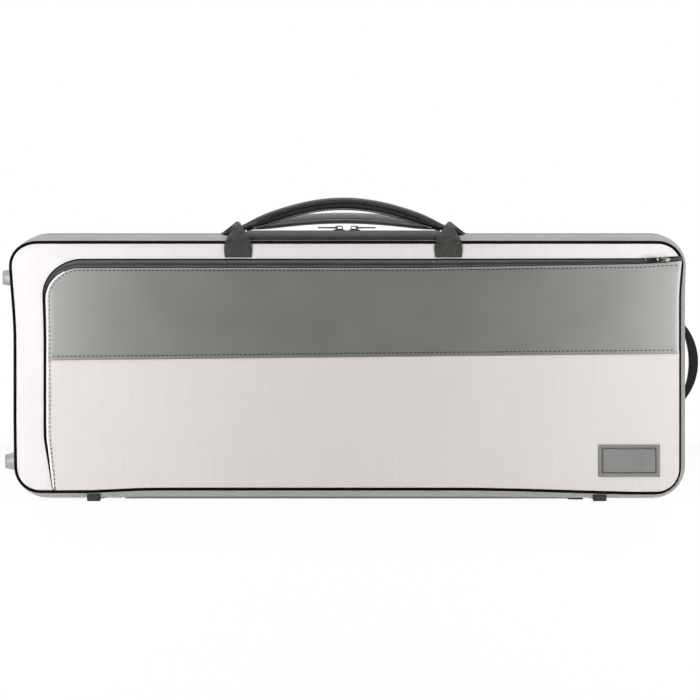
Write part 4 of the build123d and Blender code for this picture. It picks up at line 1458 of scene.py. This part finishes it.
@dataclass
class Inside:
    """The linings, the fitted nest and its cushions, the trays, the neck strap and the bow fittings."""

    pad: Pad = field(default_factory=Pad)

    def build(self) -> None:
        """Builds what lies in the base round the instrument, and then what is in the lid."""
        for node, finish, edge in (
            ("base_lining", FINISH.lining, 0.0004), ("dust_valance", FINISH.lining, 0.0004),
            ("nest_upper", FINISH.velvet, 0.0015), ("nest_lower", FINISH.velvet, 0.0015),
        ):
            Mould.plain(node, "covered", finish, "base", edge, **ROUND)
        for node in ("lower_bout_cushion", "upper_bout_cushion", "neck_cushion"):
            piece = Mould.fitted(node, f"{node}_stuffed")
            self.pad.swell(piece)
            piece.dress(FINISH.velvet, "base", [node], smooth=70)
        for side in ("upper", "lower"):
            lid, strap = f"tray_lid_{side}", f"neck_strap_{side}"
            Mould.plain(f"tray_{side}", "covered", FINISH.velvet, "base", 0.0015, **ROUND)
            Mould.plain(lid, "covered", FINISH.lining, lid, 0.0006, fill=0.9)
            Mould.plain(strap, "velvet", FINISH.strap, strap, 0.0006)
        Mould.plain("lid_lining", "padded", FINISH.lining, "lid", 0.0008, fill=0.9)
        Mould.plain("bow_mounts", "moulded", FINISH.clip, "lid", 0.0006)
        Mould.plain("bow_tip_sleeves", "sewn", FINISH.lining, "lid", 0.0008)
        for node in ("bow_turn_upper", "bow_turn_lower"):
            Mould.plain(node, "moulded", FINISH.clip, node, 0.0012)


@dataclass
class Studio:
    """The pale floor, the soft light and the photograph's camera."""

    camera_place: Triple = (-0.0041, -6.275, 0.1775)
    focal: float = 272.0
    world: float = 0.06
    strip_light: float = 5.0
    side_light: float = 5.8
    right_share: float = 0.95
    top_light: float = 16.0
    back_light: float = 95.0
    table_height: float = 0.45

    def build(self) -> None:
        """Builds the studio."""
        self.floor()
        self.sky()
        for word, side, share in (("left", -1, 1.0), ("right", 1, self.right_share)):
            place, target = (side * 0.62, -0.66, 0.25), (side * 0.46, 0, 0.18)
            self.lamp(f"{word}_softbox", place, target, (0.30, 0.9), self.side_light * share)
        self.lamp("top_softbox", (0, 0.1, 1.6), (0, 0.05, 0.1), (2.2, 1.0), self.top_light)
        self.lamp("high_strip", (0, -1.4, 1.35), (0, 0, 0.3), (1.3, 0.06), self.strip_light)
        self.lamp("white_backdrop", (0, 2.4, 1.2), (0, 0, 0.8), (8.0, 4.0), self.back_light)
        self.camera()

    def floor(self) -> None:
        """Adds a low floor and the table that the case stands on, so that the lid can hang open.

        Both are almost white for the camera and keep the shadow.
        """
        Mould.clear()
        bpy.ops.mesh.primitive_plane_add(size=30, location=(0, 0, -self.table_height))
        floor = Mould(bpy.context.object, "floor")
        table = Mould.cube("table", (-4, 0.0, -self.table_height), (4, 4, 0))
        shade = Shade(bpy.data.materials.new("pale_floor"))
        seen = shade.value("ShaderNodeLightPath", output="Is Camera Ray")
        matt = shade.value("ShaderNodeBsdfDiffuse", {"Color": (0.9, 0.9, 0.9, 1)})
        glow = shade.value("ShaderNodeEmission", {"Color": (1, 1, 1, 1), "Strength": 1.0})
        shade.end("ShaderNodeOutputMaterial", shade.node("ShaderNodeMixShader", {0: seen * 0.95, 1: matt, 2: glow}))
        for piece in (floor, table):
            piece.obj.data.materials.append(shade.owner)

    def sky(self) -> None:
        """Sets the world: plain light, and white for the camera, also through a clear piece."""
        world = bpy.context.scene.world = bpy.data.worlds.new("studio")
        shade = Shade(world)
        rays = shade.node("ShaderNodeLightPath")
        straight, through = (Link(shade, rays.outputs[f"Is {word} Ray"]) for word in ("Camera", "Transmission"))
        seen = straight.sum("MAXIMUM", through)
        level = shade.value("ShaderNodeMapRange", {"Value": seen, "To Min": self.world, "To Max": 1.0})
        back = shade.node("ShaderNodeBackground", {"Color": (1, 1, 1, 1), "Strength": level})
        shade.end("ShaderNodeOutputWorld", back)

    def lamp(self, name: str, place: Point, target: Point, size: tuple[float, float], power: float) -> None:
        """Adds a soft lamp.

        Args:
            name: Its name.
            place: Where it stands.
            target: What it points at.
            size: Its width and height.
            power: Its power in watts.
        """
        light = bpy.data.lights.new(name, "AREA")
        light.shape, light.size, light.size_y, light.energy = "RECTANGLE", *size, power
        lamp = placed(name, light)
        lamp.location = place
        lamp.rotation_euler = (Vector(target) - Vector(place)).to_track_quat("-Z", "Y").to_euler()

    def camera(self) -> None:
        """Adds the camera, level and straight on at the lid's face."""
        data = bpy.data.cameras.new("photo_camera")
        data.lens, data.sensor_width, data.clip_end = self.focal, 36.0, 60.0
        camera = placed("photo_camera", data)
        camera.location = self.camera_place
        camera.rotation_euler = (math.pi / 2, 0, 0)
        bpy.context.scene.camera = camera


def main() -> None:
    logging.basicConfig(level=logging.INFO, format="%(message)s")
    bpy.context.scene.view_settings.view_transform = "Standard"
    datum = Datum()
    for assembly in (
        Pans(datum), Faces(datum), FrontPocket(datum), MainZip(datum), Handles(datum), EndHandle(),
        Feet(), BackRings(), Inside(), Studio(),
    ):
        LOG.info("building %s", type(assembly).__name__)
        assembly.build()
    Mould.clear()


if __name__ == "__main__":
    main()
